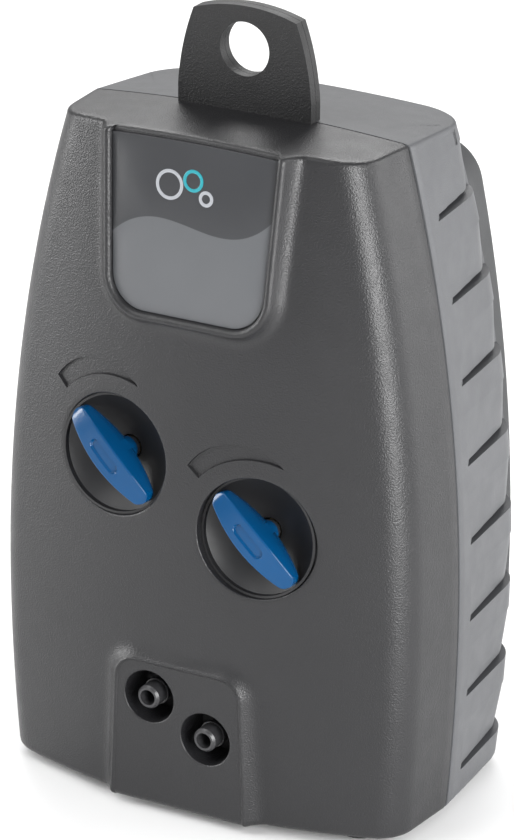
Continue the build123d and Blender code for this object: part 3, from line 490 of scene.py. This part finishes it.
CRESCENTS = [crescent(side) for side in (-1, 1)]


def bead(d, width, height):
    """A rounded rim of this width just inside an edge at d = 0."""
    if d > 0 or d < -width:
        return 0.0
    return height * (1 - (2 * (d + width / 2) / width) ** 2)


def foot(d, reach):
    """1 at a pad's edge, falling in a hollow curve to 0."""
    share = min(max(d / reach, 0.0), 1.0)
    return (1 - share) ** 2.2


def front_surface(x, z):
    """The front's y with its pads, rims, recess and scale marks."""
    base = front_base(x, z)
    y = base
    if z > LABEL_ZONE_Z:
        d = LABEL_PAD.distance(x, z)
        pad = PAD_TOP_Y - (BODY_H - z) * PAD_LEAN
        y = base + (pad - base) * foot(d, LABEL_FOOT)
        y -= bead(d, LABEL_RIM_W, LABEL_RIM_H)
        if d < -LABEL_RIM_W:
            y += LABEL_RECESS * min(1.0, (-LABEL_RIM_W - d) / RECESS_WALL)
    if z < NOZZLE_ZONE_Z:
        d = NOZZLE_PAD.distance(x, z)
        y = base + (NOZZLE_PAD_Y - base) * foot(d, NOZZLE_FOOT)
        y -= bead(d, NOZZLE_RIM_W, NOZZLE_RIM_H)
    if CRESCENT_ZONE_Z[0] < z < CRESCENT_ZONE_Z[1]:
        for mark in CRESCENTS:
            d = mark.distance(x, z)
            y += CRESCENT_DEPTH * min(1.0, max(0.0, -d / CRESCENT_WALL))
    return y


# ---------------------------------------------------------------- building meshes
MERGE_WITHIN, COLLAPSE_WITHIN = 0.004 * MM, 0.002 * MM


class Skin:
    """Collects points in the design frame and faces, then makes one object."""

    def __init__(self):
        self.points = []
        self.faces = []

    def rows(self, rows, closed=False):
        """Quads between neighbouring rows of equally many points."""
        first = len(self.points)
        width = len(rows[0])
        for row in rows:
            self.points += [tuple(p) for p in row]
        for r in range(len(rows) - 1):
            for i in range(width if closed else width - 1):
                a, b = first + r * width + i, first + r * width + (i + 1) % width
                self.faces.append((a, b, b + width, a + width))

    def patch(self, points, faces):
        """A ready-made piece of surface."""
        first = len(self.points)
        self.points += [tuple(p) for p in points]
        self.faces += [tuple(first + i for i in face) for face in faces]

    def build(self, name, material, sharp=32):
        """Merge, clean and shade the faces; edges that turn by more than sharp degrees stay crisp."""
        mesh = bpy.data.meshes.new(name)
        mesh.from_pydata([place(*p) for p in self.points], [], self.faces)
        work = bmesh.new()
        work.from_mesh(mesh)
        bmesh.ops.remove_doubles(work, verts=work.verts, dist=MERGE_WITHIN)
        bmesh.ops.dissolve_degenerate(work, edges=work.edges, dist=COLLAPSE_WITHIN)
        loose = [v for v in work.verts if not v.link_faces]
        bmesh.ops.delete(work, geom=loose, context="VERTS")
        bmesh.ops.recalc_face_normals(work, faces=work.faces)
        for face in work.faces:
            face.smooth = True
        work.to_mesh(mesh)
        work.free()
        mesh.set_sharp_from_angle(angle=math.radians(sharp))
        mesh.materials.append(material)
        made = bpy.data.objects.new(name, mesh)
        bpy.context.scene.collection.objects.link(made)
        return made


TOP_V = BODY_H - TOP_ROUND
WARP_FROM = 100.0


def lifted(x, v):
    """The height of a point whose height before the top's crowning is v."""
    return v + crown(x) * max(0.0, (v - WARP_FROM) / (BODY_H - WARP_FROM))


def unlifted(x, z):
    """The height that lifted raises to z."""
    if z <= WARP_FROM:
        return z
    share = crown(x) / (BODY_H - WARP_FROM)
    return (z + WARP_FROM * share) / (1 + share)


def side_run(v, side):
    """One level of the front shell's corner and side, from the front's edge to the seam."""
    z = v
    for _ in range(3):
        z = lifted(front_corner(z)[0][0], v)
    start, centre, end = front_corner(z)
    seam_x = half_width(z) - FRONT_DRAFT * (SEAM_EDGE_Y + SEAM_ROUND)
    seam = (seam_x, -SEAM_EDGE_Y - SEAM_ROUND)
    plan = arc_points(start, centre, end, 9)
    plan += [(end[0] + (seam[0] - end[0]) * k / 5, end[1] + (seam[1] - end[1]) * k / 5) for k in range(1, 6)]
    return [(side * x, y, lifted(x, v)) for x, y in plan]


def hole_ring(side, radius):
    """A well's edge: a circle about the knob's axis, laid on the front."""
    centre, right, up, out = knob_frame(side)
    points = []
    count = 96
    for k in range(count):
        a = 2 * math.pi * k / count
        p = centre + (right * math.cos(a) + up * math.sin(a)) * radius
        for _ in range(4):
            p += out * (p.y - front_base(p.x, p.z))
        points.append(p)
    return points


def pocket_ring(spot, radius, y=None, count=64):
    """A nozzle pocket's circle, on the pad or at a depth."""
    points = []
    for k in range(count):
        a = 2 * math.pi * k / count
        x, z = spot[0] + radius * math.cos(a), spot[1] + radius * math.sin(a)
        points.append(Vector((x, front_surface(x, z) if y is None else y, z)))
    return points


GRID = 1.25
# the pads' outlines run out past the front; beyond these limits their points need no depth
SHEET_HALF_X, SHEET_LOW_Z, SHEET_HIGH_Z = 46, -12, 150


def front_patch(levels):
    """The front between the two corner arcs: a triangulated sheet with holes and crisp edges."""
    coords, edges, rings = [], [], {}

    def loop(points, name=None):
        first = len(coords)
        coords.extend(Vector((x, unlifted(x, z))) for x, z in points)
        last = len(coords) - 1
        edges.extend((i, i + 1) for i in range(first, last))
        edges.append((last, first))
        if name:
            rings[name] = range(first, last + 1)

    for side in (-1, 1):
        loop([(p.x, p.z) for p in hole_ring(side, WELL_R + HOLE_ROUND)], f"well{side}")
        loop([(p.x, p.z) for p in hole_ring(side, WELL_R + HOLE_ROUND + 1.0)])
    for i, spot in enumerate(NOZZLE_AT):
        loop([(p.x, p.z) for p in pocket_ring(spot, POCKET_R + HOLE_ROUND)], f"pocket{i}")
        loop([(p.x, p.z) for p in pocket_ring(spot, POCKET_R + HOLE_ROUND + 0.5)])
    for mark in CRESCENTS:
        for offset in (0.5, 0.0, -CRESCENT_WALL, -CRESCENT_WALL - 0.4):
            loop(mark.ring(offset))
    rim = LABEL_RIM_W
    outside_pad = (2.8, 2.0, 1.3, 0.8, 0.4, 0.15, 0.0)
    on_rim = (-0.2, -0.5, -rim / 2, 0.5 - rim, 0.2 - rim, -rim)
    for offset in outside_pad + on_rim + (-rim - RECESS_WALL, -rim - 0.6):
        loop(LABEL_PAD.ring(offset))
    rim = NOZZLE_RIM_W
    for offset in (3.6, 2.6, 1.7, 1.0, 0.5, 0.2, 0.0, -0.15, -rim / 2, 0.15 - rim, -rim, -rim - 0.5):
        loop(NOZZLE_PAD.ring(offset))
    near = KDTree(len(coords))
    for i, p in enumerate(coords):
        near.insert((p.x, p.y, 0), i)
    near.balance()
    holes = [(knob_frame(side)[0].x, knob_frame(side)[0].z, WELL_R) for side in (-1, 1)]
    holes += [(x, z, POCKET_R) for x, z in NOZZLE_AT]

    def in_hole(x, z):
        return any(math.hypot(x - a, z - b) < r for a, b, r in holes)

    border_right = [(side_run(v, 1)[0][0], v) for v in levels]
    border = [(-x, v) for x, v in border_right] + border_right[::-1]
    columns = round(2 * border_right[0][0] / GRID)
    for j, (edge_x, v) in enumerate(border_right):
        for k in range(1, columns):
            x = edge_x * (2 * k / columns - 1)
            end_row = j in (0, len(levels) - 1)
            if end_row or near.find((x, v, 0))[2] > 0.55 * GRID and not in_hole(x, v):
                coords.append(Vector((x, v)))
    first = len(coords)
    coords.extend(Vector(p) for p in border)
    edges.extend((first + i, first + (i + 1) % len(border)) for i in range(len(border)))
    verts, _, faces, origins, _, _ = delaunay_2d_cdt(coords, edges, [], 0, 1e-5)
    place_of = {}
    for new, old in enumerate(origins):
        for index in old:
            place_of[index] = new
    hole_points = {}
    for name, ring in rings.items():
        hole_points.update({place_of[i]: name for i in ring})
    low, high = levels[0], levels[-1]
    span = (high - low) / (len(levels) - 1)

    def outside(face):
        x = sum(verts[i].x for i in face) / 3
        v = sum(verts[i].y for i in face) / 3
        if not low < v < high:
            return True
        at = min(len(levels) - 2, int((v - low) / span))
        share = (v - low) / span - at
        edge_x = border_right[at][0] * (1 - share) + border_right[at + 1][0] * share
        if abs(x) > edge_x - 1e-4:
            return True
        names = {hole_points.get(i) for i in face}
        return len(names) == 1 and None not in names

    faces = [f for f in faces if not outside(f)]
    points = []
    for p in verts:
        z = lifted(p.x, p.y)
        near_front = abs(p.x) < SHEET_HALF_X and SHEET_LOW_Z < z < SHEET_HIGH_Z
        points.append(Vector((p.x, front_surface(p.x, z) if near_front else 0, z)))
    found = {name: [points[place_of[i]] for i in ring] for name, ring in rings.items()}
    used = {i for f in faces for i in f}
    ends = []
    for v in (low, high):
        row = [i for i in used if abs(verts[i].y - v) < 1e-4]
        ends.append([points[i] for i in sorted(row, key=lambda i: verts[i].x)])
    return points, faces, found, ends


def rim_strip(skin, ring, towards, inward, radius_in, depth):
    """From a ring on the surface round a small edge and down a hole's wall.

    towards holds each point's direction to the hole's middle.
    """
    rows = [ring]
    for k in range(1, 5):
        a = math.radians(90 * k / 4)
        rows.append([p + toward * (radius_in * math.sin(a)) + inward * (radius_in * (1 - math.cos(a)))
                     for p, toward in zip(ring, towards)])
    rows.append([p + inward * depth for p in rows[-1]])
    skin.rows(rows, closed=True)
    return rows[-1]


def front_top(x, y):
    """The front half of the top: crowned from side to side, the same at every y."""
    return BODY_H + crown(x)


def underside(x, y):
    """The flat underside, the same at every point."""
    return 0.0


def edge_and_cap(skin, loop, radius, flat_z, up, half_gap, seam_y):
    """Round a boundary loop over by radius and close it with a cap that runs to the seam."""
    lengths = [0.0]
    for a, b in zip(loop, loop[1:]):
        lengths.append(lengths[-1] + math.dist(a[:2], b[:2]))
    targets = [(half_gap * (2 * s / lengths[-1] - 1), seam_y) for s in lengths]
    if loop[0][0] > 0:
        targets = [(-x, y) for x, y in targets]
    inward = [Vector((t[0] - p[0], t[1] - p[1], 0)).normalized() for p, t in zip(loop, targets)]
    rows = [[Vector(p) for p in loop]]
    for k in range(1, 5):
        a = math.radians(90 * k / 4)
        rows.append([Vector(p) + d * (radius * (1 - math.cos(a))) + Vector((0, 0, up * radius * math.sin(a)))
                     for p, d in zip(loop, inward)])
    last = rows[-1]
    cap_rows = 14
    for k in range(1, cap_rows + 1):
        t = k / cap_rows
        row = []
        for p, target in zip(last, targets):
            x, y = p.x + (target[0] - p.x) * t, p.y + (target[1] - p.y) * t
            row.append(Vector((x, y, flat_z(x, y))))
        rows.append(row)
    skin.rows(rows)
    seam_line = [row[0] for row in rows] + rows[-1][1:-1] + [row[-1] for row in reversed(rows)]
    skin.rows([seam_line, [p - Vector((0, 0, up * RETURN)) for p in seam_line]])


def with_seam_arc(run, facing):
    """A run that ends near the seam, carried round the small edge to it; facing is its side."""
    x, y, z = run[-1]
    towards = math.copysign(SEAM_ROUND, -y)
    arc = [Vector((x - facing * SEAM_ROUND * (1 - math.cos(a)), y + towards * math.sin(a), z))
           for a in (math.pi / 4, math.pi / 2)]
    return run + arc


def make_front_skin(material):
    """The front moulding's outside, with rounded edges and its holes' walls."""
    skin = Skin()
    count = 112
    levels = [BOTTOM_ROUND + (TOP_V - BOTTOM_ROUND) * j / count for j in range(count + 1)]
    points, faces, rings, ends = front_patch(levels)
    skin.patch(points, faces)
    for side in (-1, 1):
        runs = [side_run(v, side) for v in levels]
        skin.rows(runs)
        turned = []
        for run in runs:
            x, y, z = run[-1]
            arc = [(x - side * SEAM_ROUND * (1 - math.cos(a)), y + SEAM_ROUND * math.sin(a), z)
                   for a in (0, math.pi / 4, math.pi / 2)]
            turned.append(arc + [(x - side * RETURN, y + SEAM_ROUND, z)])
        skin.rows(turned)
        centre, right, up, out = knob_frame(side)
        ring = rings[f"well{side}"]
        toward = [(centre - p - out * (centre - p).dot(out)).normalized() for p in ring]
        rim_strip(skin, ring, toward, -out, HOLE_ROUND, COLLAR_DEPTH)
    for i, spot in enumerate(NOZZLE_AT):
        ring = rings[f"pocket{i}"]
        toward = [Vector((spot[0] - p.x, 0, spot[1] - p.z)).normalized() for p in ring]
        floor = rim_strip(skin, ring, toward, Vector((0, 1, 0)), HOLE_ROUND, POCKET_DEPTH)
        inner = pocket_ring(spot, POCKET_FLOOR_R, floor[0].y)
        skin.rows([floor, inner], closed=True)
    for v, row, up in ((levels[0], ends[0], -1), (levels[-1], ends[1], 1)):
        left = with_seam_arc([Vector(p) for p in side_run(v, -1)], -1)[::-1]
        right = with_seam_arc([Vector(p) for p in side_run(v, 1)], 1)
        loop = left[:-1] + row + right[1:]
        flat = front_top if up > 0 else underside
        radius = TOP_ROUND if up > 0 else BOTTOM_ROUND
        edge_and_cap(skin, loop, radius, flat, up, half_width(v) - CAP_MARGIN, -SEAM_EDGE_Y)
    return skin.build("front_shell_skin", material)


# ---------------------------------------------------------------- rear shell
LOUVRES, LOUVRE_PITCH, LOUVRE_LOW_Z = 8, 16.7, 6.3
LOUVRE_RISE = 10.9
LOUVRE_LIP = 0.14       # a panel's step at its front and top edges
SINK_FRONT, SINK_REAR = 0.3, 1.25   # how deep a panel's low edge lies in front and at the rear
LOUVRE_FRONT_Y, VENT_FRONT_Y = 6.0, 7.6
LOUVRE_MARGIN, VENT_MARGIN = 2.7, 3.3
VENT_H, VENT_SINK = 1.1, 5.0
STEP = 0.1              # breadth of a louvre's nearly square edges


def rear_run(z):
    """One level of the rear shell's plan: seam, side, corner, back; points and outward normals."""
    slant = math.sqrt(1 + REAR_DRAFT ** 2)
    back = back_y(z)
    centre_y = back - REAR_CORNER_R
    centre_x = half_width(z) - REAR_DRAFT * centre_y - REAR_CORNER_R * slant
    side_normal = (1 / slant, REAR_DRAFT / slant)
    end = (centre_x + REAR_CORNER_R * side_normal[0], centre_y + REAR_CORNER_R * side_normal[1])
    marks = [SEAM_EDGE_Y + SEAM_ROUND, 3.0]
    marks += [LOUVRE_FRONT_Y + step for step in (-0.4, 0, STEP, 0.6)]
    marks += [VENT_FRONT_Y + step for step in (-STEP, 0, STEP)]
    marks += [12.0, 15.0, 18.0, 21.0]
    run = [((half_width(z) - REAR_DRAFT * y, y), side_normal) for y in marks]
    top_angle = math.pi / 2
    start_angle = math.atan2(side_normal[1], side_normal[0])
    for k in range(31):
        a = start_angle + (top_angle - start_angle) * k / 30
        run.append(((centre_x + REAR_CORNER_R * math.cos(a), centre_y + REAR_CORNER_R * math.sin(a)),
                    (math.cos(a), math.sin(a))))
    return run, centre_x


def louvre_sink(y, z, back):
    """How deep a louvre sinks the rear shell at a point of its side."""
    rear = back - LOUVRE_MARGIN
    if not LOUVRE_FRONT_Y < y < rear:
        return 0.0
    for i in range(LOUVRES):
        above = z - (LOUVRE_LOW_Z + i * LOUVRE_PITCH)
        if 0 <= above <= LOUVRE_RISE:
            edge = min(1.0, (y - LOUVRE_FRONT_Y) / STEP, (rear - y) / 0.5)
            along = (y - LOUVRE_FRONT_Y) / (rear - LOUVRE_FRONT_Y)
            low_edge = SINK_FRONT + (SINK_REAR - SINK_FRONT) * along
            lip = LOUVRE_LIP * min(1.0, (LOUVRE_RISE - above) / STEP)
            depth = (lip + low_edge * (1 - above / LOUVRE_RISE)) * edge
            if VENT_FRONT_Y <= y < back - VENT_MARGIN:
                open_h = VENT_H * min(1.0, 0.55 + 0.45 * along)
                depth += VENT_SINK * min(1.0, max(0.0, (open_h + STEP - above) / STEP))
            return depth
    return 0.0


def rear_levels():
    """Heights for the rear shell's rows, close together at each louvre's edges."""
    heights = [BOTTOM_ROUND, 3.2, 4.8]
    for i in range(LOUVRES):
        slot = LOUVRE_LOW_Z + i * LOUVRE_PITCH
        heights += [slot - 0.3, slot - 0.001, slot, slot + 0.3]
        heights += [slot + VENT_H * share for share in (0.55, 0.67, 0.79, 0.9, 1.0)]
        heights += [slot + VENT_H + STEP, slot + VENT_H + 2 * STEP]
        heights += [slot + LOUVRE_RISE * k / 6 for k in (2, 3, 4, 5)]
        heights += [slot + LOUVRE_RISE + step for step in (-0.3, -STEP, 0, 0.3, 2, 3.8)]
    return [z for z in heights if z <= LOUVRE_LOW_Z + (LOUVRES - 1) * LOUVRE_PITCH + LOUVRE_RISE]


def rear_top(x, y):
    """The rear half of the top, which falls to the back."""
    return BODY_H + crown(x) - REAR_TOP_SLOPE * y


def rear_level(z, warp=0.0):
    """A whole row of the rear shell; warp raises it towards the sloping top by a share."""
    run, centre_x = rear_run(z)
    back = back_y(z)
    row = []
    for k, ((x, y), (nx, ny)) in enumerate(run):
        sink = 0.0 if warp else louvre_sink(y, z, back)
        height = z
        if warp:
            for _ in range(3):
                height = z + (rear_top(x, y) - TOP_ROUND - z) * warp
                x, y = rear_run(height)[0][k][0]
        row.append((x - nx * sink, y - ny * sink, height))
    columns = 16
    last_x, last_y, _ = row[-1]
    for k in range(1, columns):
        x = last_x * (1 - 2 * k / columns)
        height = z + (rear_top(x, last_y) - TOP_ROUND - z) * warp
        row.append((x, back_y(height) if warp else back, height))
    mirrored = [(-x, y, h) for x, y, h in row[:len(run)]][::-1]
    return row + mirrored


def make_rear_skin(material):
    """The rear moulding's outside with its louvres, without the cut-outs behind the filter cover."""
    skin = Skin()
    heights = rear_levels()
    rows = [rear_level(z) for z in heights]
    top = heights[-1]
    rows += [rear_level(top, warp=k / 6) for k in range(1, 7)]
    skin.rows(rows)
    for pick, side in ((0, 1), (-1, -1)):
        turned = []
        for row in rows:
            x, y, z = row[pick]
            arc = [(x - side * SEAM_ROUND * (1 - math.cos(a)), y - SEAM_ROUND * math.sin(a), z)
                   for a in (0, math.pi / 4, math.pi / 2)]
            turned.append(arc + [(x - side * RETURN, y - SEAM_ROUND, z)])
        skin.rows(turned)
    ends = ((rows[0], BOTTOM_ROUND, underside, -1), (rows[-1], TOP_ROUND, rear_top, 1))
    for row, radius, flat, up in ends:
        run = with_seam_arc([Vector(p) for p in row][::-1], 1)[::-1]
        loop = with_seam_arc(run, -1)
        edge_and_cap(skin, loop, radius, flat, up, half_width(row[0][2]) - CAP_MARGIN, SEAM_EDGE_Y)
    return skin.build("rear_shell_skin", material)


# ---------------------------------------------------------------- knobs
WING_HALF, WING_HALF_T, WING_END_HALF_T = 11.7, 2.95, 1.75
WING_TOP, WING_CROWN = 3.0, 2.0
WING_KEEL, WING_END_KEEL = -3.9, -1.9
WING_EDGE, WING_END_R = 0.35, 1.3
MARK_HALF_L, MARK_HALF_W, MARK_DEPTH, MARK_AT = 2.9, 1.15, 0.55, 0.4
HUB_R, HUB_TOP, HUB_LOW, HUB_ROUND = 2.6, -2.8, -5.2, 0.4
SEAL_R, SEAL_LOW = 2.3, -6.7
KNOB_REST = math.radians(47)


def wing_section(u):
    """One cross-section of a knob's wing at a distance along it: a closed ring of (w, n)."""
    share = abs(u) / WING_HALF
    half = WING_END_HALF_T + (WING_HALF_T - WING_END_HALF_T) * (1 - share * share)
    into_end = max(0.0, (abs(u) - WING_HALF + WING_END_R) / WING_END_R)
    half *= math.sqrt(max(0.02, 1 - into_end ** 2))
    top = WING_TOP - WING_CROWN * share * share - 0.25 * into_end ** 2
    keel = WING_KEEL + (WING_END_KEEL - WING_KEEL) * share * share
    edge = min(WING_EDGE, 0.6 * half)
    ring = [(-half * 0.4, keel), (-half * 0.8, keel + 0.4), (-half, keel + 1.1), (-half, (keel + top) / 2)]
    for k in range(5):
        a = math.radians(90 * k / 4)
        ring.append((-half + edge * (1 - math.cos(a)), top - edge * (1 - math.sin(a))))
    columns = 30
    for k in range(1, columns):
        w = (half - edge) * (2 * k / columns - 1)
        run = max(0.0, abs(u - MARK_AT) - MARK_HALF_L)
        d = math.hypot(run, w) - MARK_HALF_W
        ring.append((w, top - MARK_DEPTH * min(1.0, max(0.0, -d / 0.2))))
    ring += [(-w, n) for w, n in ring[8::-1]]
    return ring


def make_knob(side, material, seal_material):
    """A flow knob: a crowned, lens-shaped wing with a sunk marker, its hub and a rubber seal below."""
    centre, right, up, out = knob_frame(side)
    along = up * math.cos(KNOB_REST) - right * math.sin(KNOB_REST)
    across = right * math.cos(KNOB_REST) + up * math.sin(KNOB_REST)
    skin = Skin()
    stations = 130
    rings = []
    for k in range(stations + 1):
        u = WING_HALF * (2 * k / stations - 1)
        rings.append([centre + along * u + across * w + out * n for w, n in wing_section(u)])
    skin.rows(rings, closed=True)
    for ring in (rings[0], rings[-1]):
        middle = sum(ring, Vector()) / len(ring)
        skin.rows([ring, [middle + (p - middle) * 0.5 for p in ring]], closed=True)
        skin.patch([middle + (p - middle) * 0.5 for p in ring], [tuple(range(len(ring)))])
    profile = [(HUB_R - HUB_ROUND * (1 - math.sin(a)), HUB_TOP - HUB_ROUND * (1 - math.cos(a)))
               for a in (0, math.pi / 8, math.pi / 4, math.pi * 3 / 8, math.pi / 2)]
    profile = [(1.0, HUB_TOP)] + profile + [(HUB_R, HUB_LOW), (2.0, HUB_LOW)]

    def circle(r, n, turns=64):
        angles = [2 * math.pi * i / turns for i in range(turns)]
        return [centre + (right * math.cos(a) + up * math.sin(a)) * r + out * n for a in angles]

    skin.rows([circle(r, n) for r, n in profile], closed=True)
    name = {-1: "left", 1: "right"}[side]
    made = skin.build(f"flow_knob_{name}", material, sharp=40)
    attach(made, f"knob_{name}")
    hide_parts(f"control_knob_{name}")
    seal_profile = [(1.0, HUB_LOW), (SEAL_R, HUB_LOW), (SEAL_R, SEAL_LOW), (2.0, SEAL_LOW)]
    seal_skin = Skin()
    seal_skin.rows([circle(r, n) for r, n in seal_profile], closed=True)
    seal = seal_skin.build(f"knob_seal_{name}", seal_material)
    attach(seal, f"knob_{name}")


# ---------------------------------------------------------------- label
LABEL_EDGE = shield(18.4, 16.5, 34.6, 7.3)
LABEL_T = 0.5
LABEL_TOP_GAP = 1.1     # the plate ends this far under the top
LABEL_EDGE_W, LABEL_EDGE_DROP = 0.15, 0.08
WAVE_REACH = 19
WAVE_Z, WAVE_SLOPE, WAVE_BEND = 123.8, -0.19, 0.0013
ICON_AT = (-1.5, 131.6)
ICON_BUBBLES = ((-3.6, 0.0, 2.7), (1.6, 1.5, 1.9), (4.6, -1.6, 1.25))


def wave_z(x):
    """Height of the line between the label's two tones."""
    return WAVE_Z + WAVE_SLOPE * x + WAVE_BEND * x ** 3


def label_y(z, height=0.0):
    """The label's face, or height above it."""
    return PAD_TOP_Y - (BODY_H - z) * PAD_LEAN + LABEL_RECESS - LABEL_T - height


def label_top(x):
    return BODY_H + crown(x) - LABEL_TOP_GAP


def make_label(dark, light):
    """The thin label plate with its two printed tones."""
    outline = [(x, min(z, label_top(x))) for x, z in LABEL_EDGE.points]
    coords = [Vector(p) for p in outline]
    edges = [(i, (i + 1) % len(outline)) for i in range(len(outline))]
    inner = [Vector(p) for p in LABEL_EDGE.ring(-LABEL_EDGE_W)]
    inner = [Vector((p.x, min(p.y, label_top(p.x) - LABEL_EDGE_W))) for p in inner]
    edges += [(len(coords) + i, len(coords) + (i + 1) % len(inner)) for i in range(len(inner))]
    coords += inner
    steps = 60
    first = len(coords)
    across = [-WAVE_REACH + 2 * WAVE_REACH * k / steps for k in range(steps + 1)]
    coords += [Vector((x, wave_z(x))) for x in across]
    edges += [(first + k, first + k + 1) for k in range(steps)]
    verts, _, faces, origins, _, _ = delaunay_2d_cdt(coords, edges, [], 0, 1e-5)
    clipped = Outline(outline)

    def inside(face):
        x, z = (sum(verts[i][axis] for i in face) / 3 for axis in (0, 1))
        return clipped.distance(x, z) < -1e-4

    faces = [f for f in faces if inside(f)]
    rim = {new for new, old in enumerate(origins) if any(i < len(outline) for i in old)}
    points = [(p.x, label_y(p.y, -LABEL_EDGE_DROP if i in rim else 0.0), p.y) for i, p in enumerate(verts)]
    skin = Skin()
    skin.patch(points, faces)
    edge = [(x, label_y(z, -LABEL_EDGE_DROP), z) for x, z in outline]
    skin.rows([edge, [(x, y + LABEL_T - LABEL_EDGE_DROP, z) for x, y, z in edge]], closed=True)
    plate = skin.build("two_tone_label", dark)
    plate.data.materials.append(light)
    for face in plate.data.polygons:
        middle = face.center
        x, z = middle.x / MM, (middle.z - UNDERSIDE_Z) / MM
        if z < wave_z(x):
            face.material_index = 1
    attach(plate, "housing")
    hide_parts("label_plate")


def make_icon(pale, teal):
    """A generic mark: three raised bubble outlines."""
    for k, (dx, dz, r) in enumerate(ICON_BUBBLES):
        skin = Skin()
        rings = []
        section = ((0.34, -0.05), (0.34, 0.06), (0.26, 0.1), (-0.26, 0.1), (-0.34, 0.06), (-0.34, -0.05))
        for grow, height in section:
            ring = []
            for i in range(48):
                a = 2 * math.pi * i / 48
                x = ICON_AT[0] + dx + (r + grow) * math.cos(a)
                z = ICON_AT[1] + dz + (r + grow) * math.sin(a)
                ring.append((x, label_y(z, height), z))
            rings.append(ring)
        skin.rows(rings, closed=True)
        bubble = skin.build(f"label_bubble_{k + 1}", teal if k == 1 else pale)
        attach(bubble, "housing")


# ---------------------------------------------------------------- floor and light
FLOOR_GREY = 0.87
WORLD_STRENGTH = 0.58


def make_stage():
    """A plain pale floor under the object."""
    mesh = bpy.data.meshes.new("floor")
    reach = 6.0
    corners = [(-reach, -reach), (reach, -reach), (reach, reach), (-reach, reach)]
    mesh.from_pydata([(x, y, CAD_BOX[0].z) for x, y in corners], [], [(0, 1, 2, 3)])
    floor = bpy.data.objects.new("floor", mesh)
    bpy.context.scene.collection.objects.link(floor)
    made = Shader("pale_floor", (FLOOR_GREY, FLOOR_GREY, FLOOR_GREY), 0.7)
    made.roughness(made.span(made.noise(3), 0.65, 0.8))
    mesh.materials.append(made.material)


def area_light(name, towards, distance, size, power):
    """A soft white light that shines on the middle of the housing."""
    data = bpy.data.lights.new(name, "AREA")
    data.shape = "RECTANGLE"
    data.size, data.size_y = size
    data.energy = power
    light = bpy.data.objects.new(name, data)
    bpy.context.scene.collection.objects.link(light)
    direction = Vector(towards).normalized()
    light.location = CAMERA_TARGET + direction * distance
    light.rotation_mode = "QUATERNION"
    light.rotation_quaternion = direction.to_track_quat("Z", "Y")


def make_lights():
    """White surroundings and soft boxes at the sides, behind and above."""
    world = bpy.data.worlds.new("studio")
    bpy.context.scene.world = world
    world.use_nodes = True
    world.node_tree.nodes["Background"].inputs["Color"].default_value = (1, 1, 1, 1)
    world.node_tree.nodes["Background"].inputs["Strength"].default_value = WORLD_STRENGTH
    area_light("left_strip", (-0.9, -0.42, 0.12), 1.2, (0.3, 1.0), 14)
    area_light("right_strip", (0.84, -0.54, -0.02), 0.5, (0.18, 0.55), 5.5)
    area_light("side_right", (0.9, 0.6, 0.25), 1.2, (0.9, 0.9), 10)
    area_light("top_back", (-0.4, 0.7, 0.75), 1.2, (0.8, 0.5), 8)
    area_light("key_upper_left", (-0.5, -0.6, 1.0), 1.4, (0.7, 0.7), 6)
    bpy.context.scene.view_settings.view_transform = "Standard"


make_camera()
make_stage()
make_lights()
MATERIALS = main_materials()
dress_nodes(MATERIALS)
front_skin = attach(make_front_skin(MATERIALS["shell_front"]), "housing")
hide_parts("front_shell")
for knob_side in (-1, 1):
    make_knob(knob_side, MATERIALS["knob_blue"], MATERIALS["soft_black"])
make_label(MATERIALS["pad_label"], moulded("label_pale_band", (0.08, 0.083, 0.089), 0.32, patchy=0.015))
make_icon(moulded("print_pale", (0.27, 0.28, 0.3), 0.4), moulded("print_teal", (0.01, 0.22, 0.26), 0.4))
rear_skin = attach(make_rear_skin(MATERIALS["shell_rear"]), "housing")
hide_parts("rear_shell")
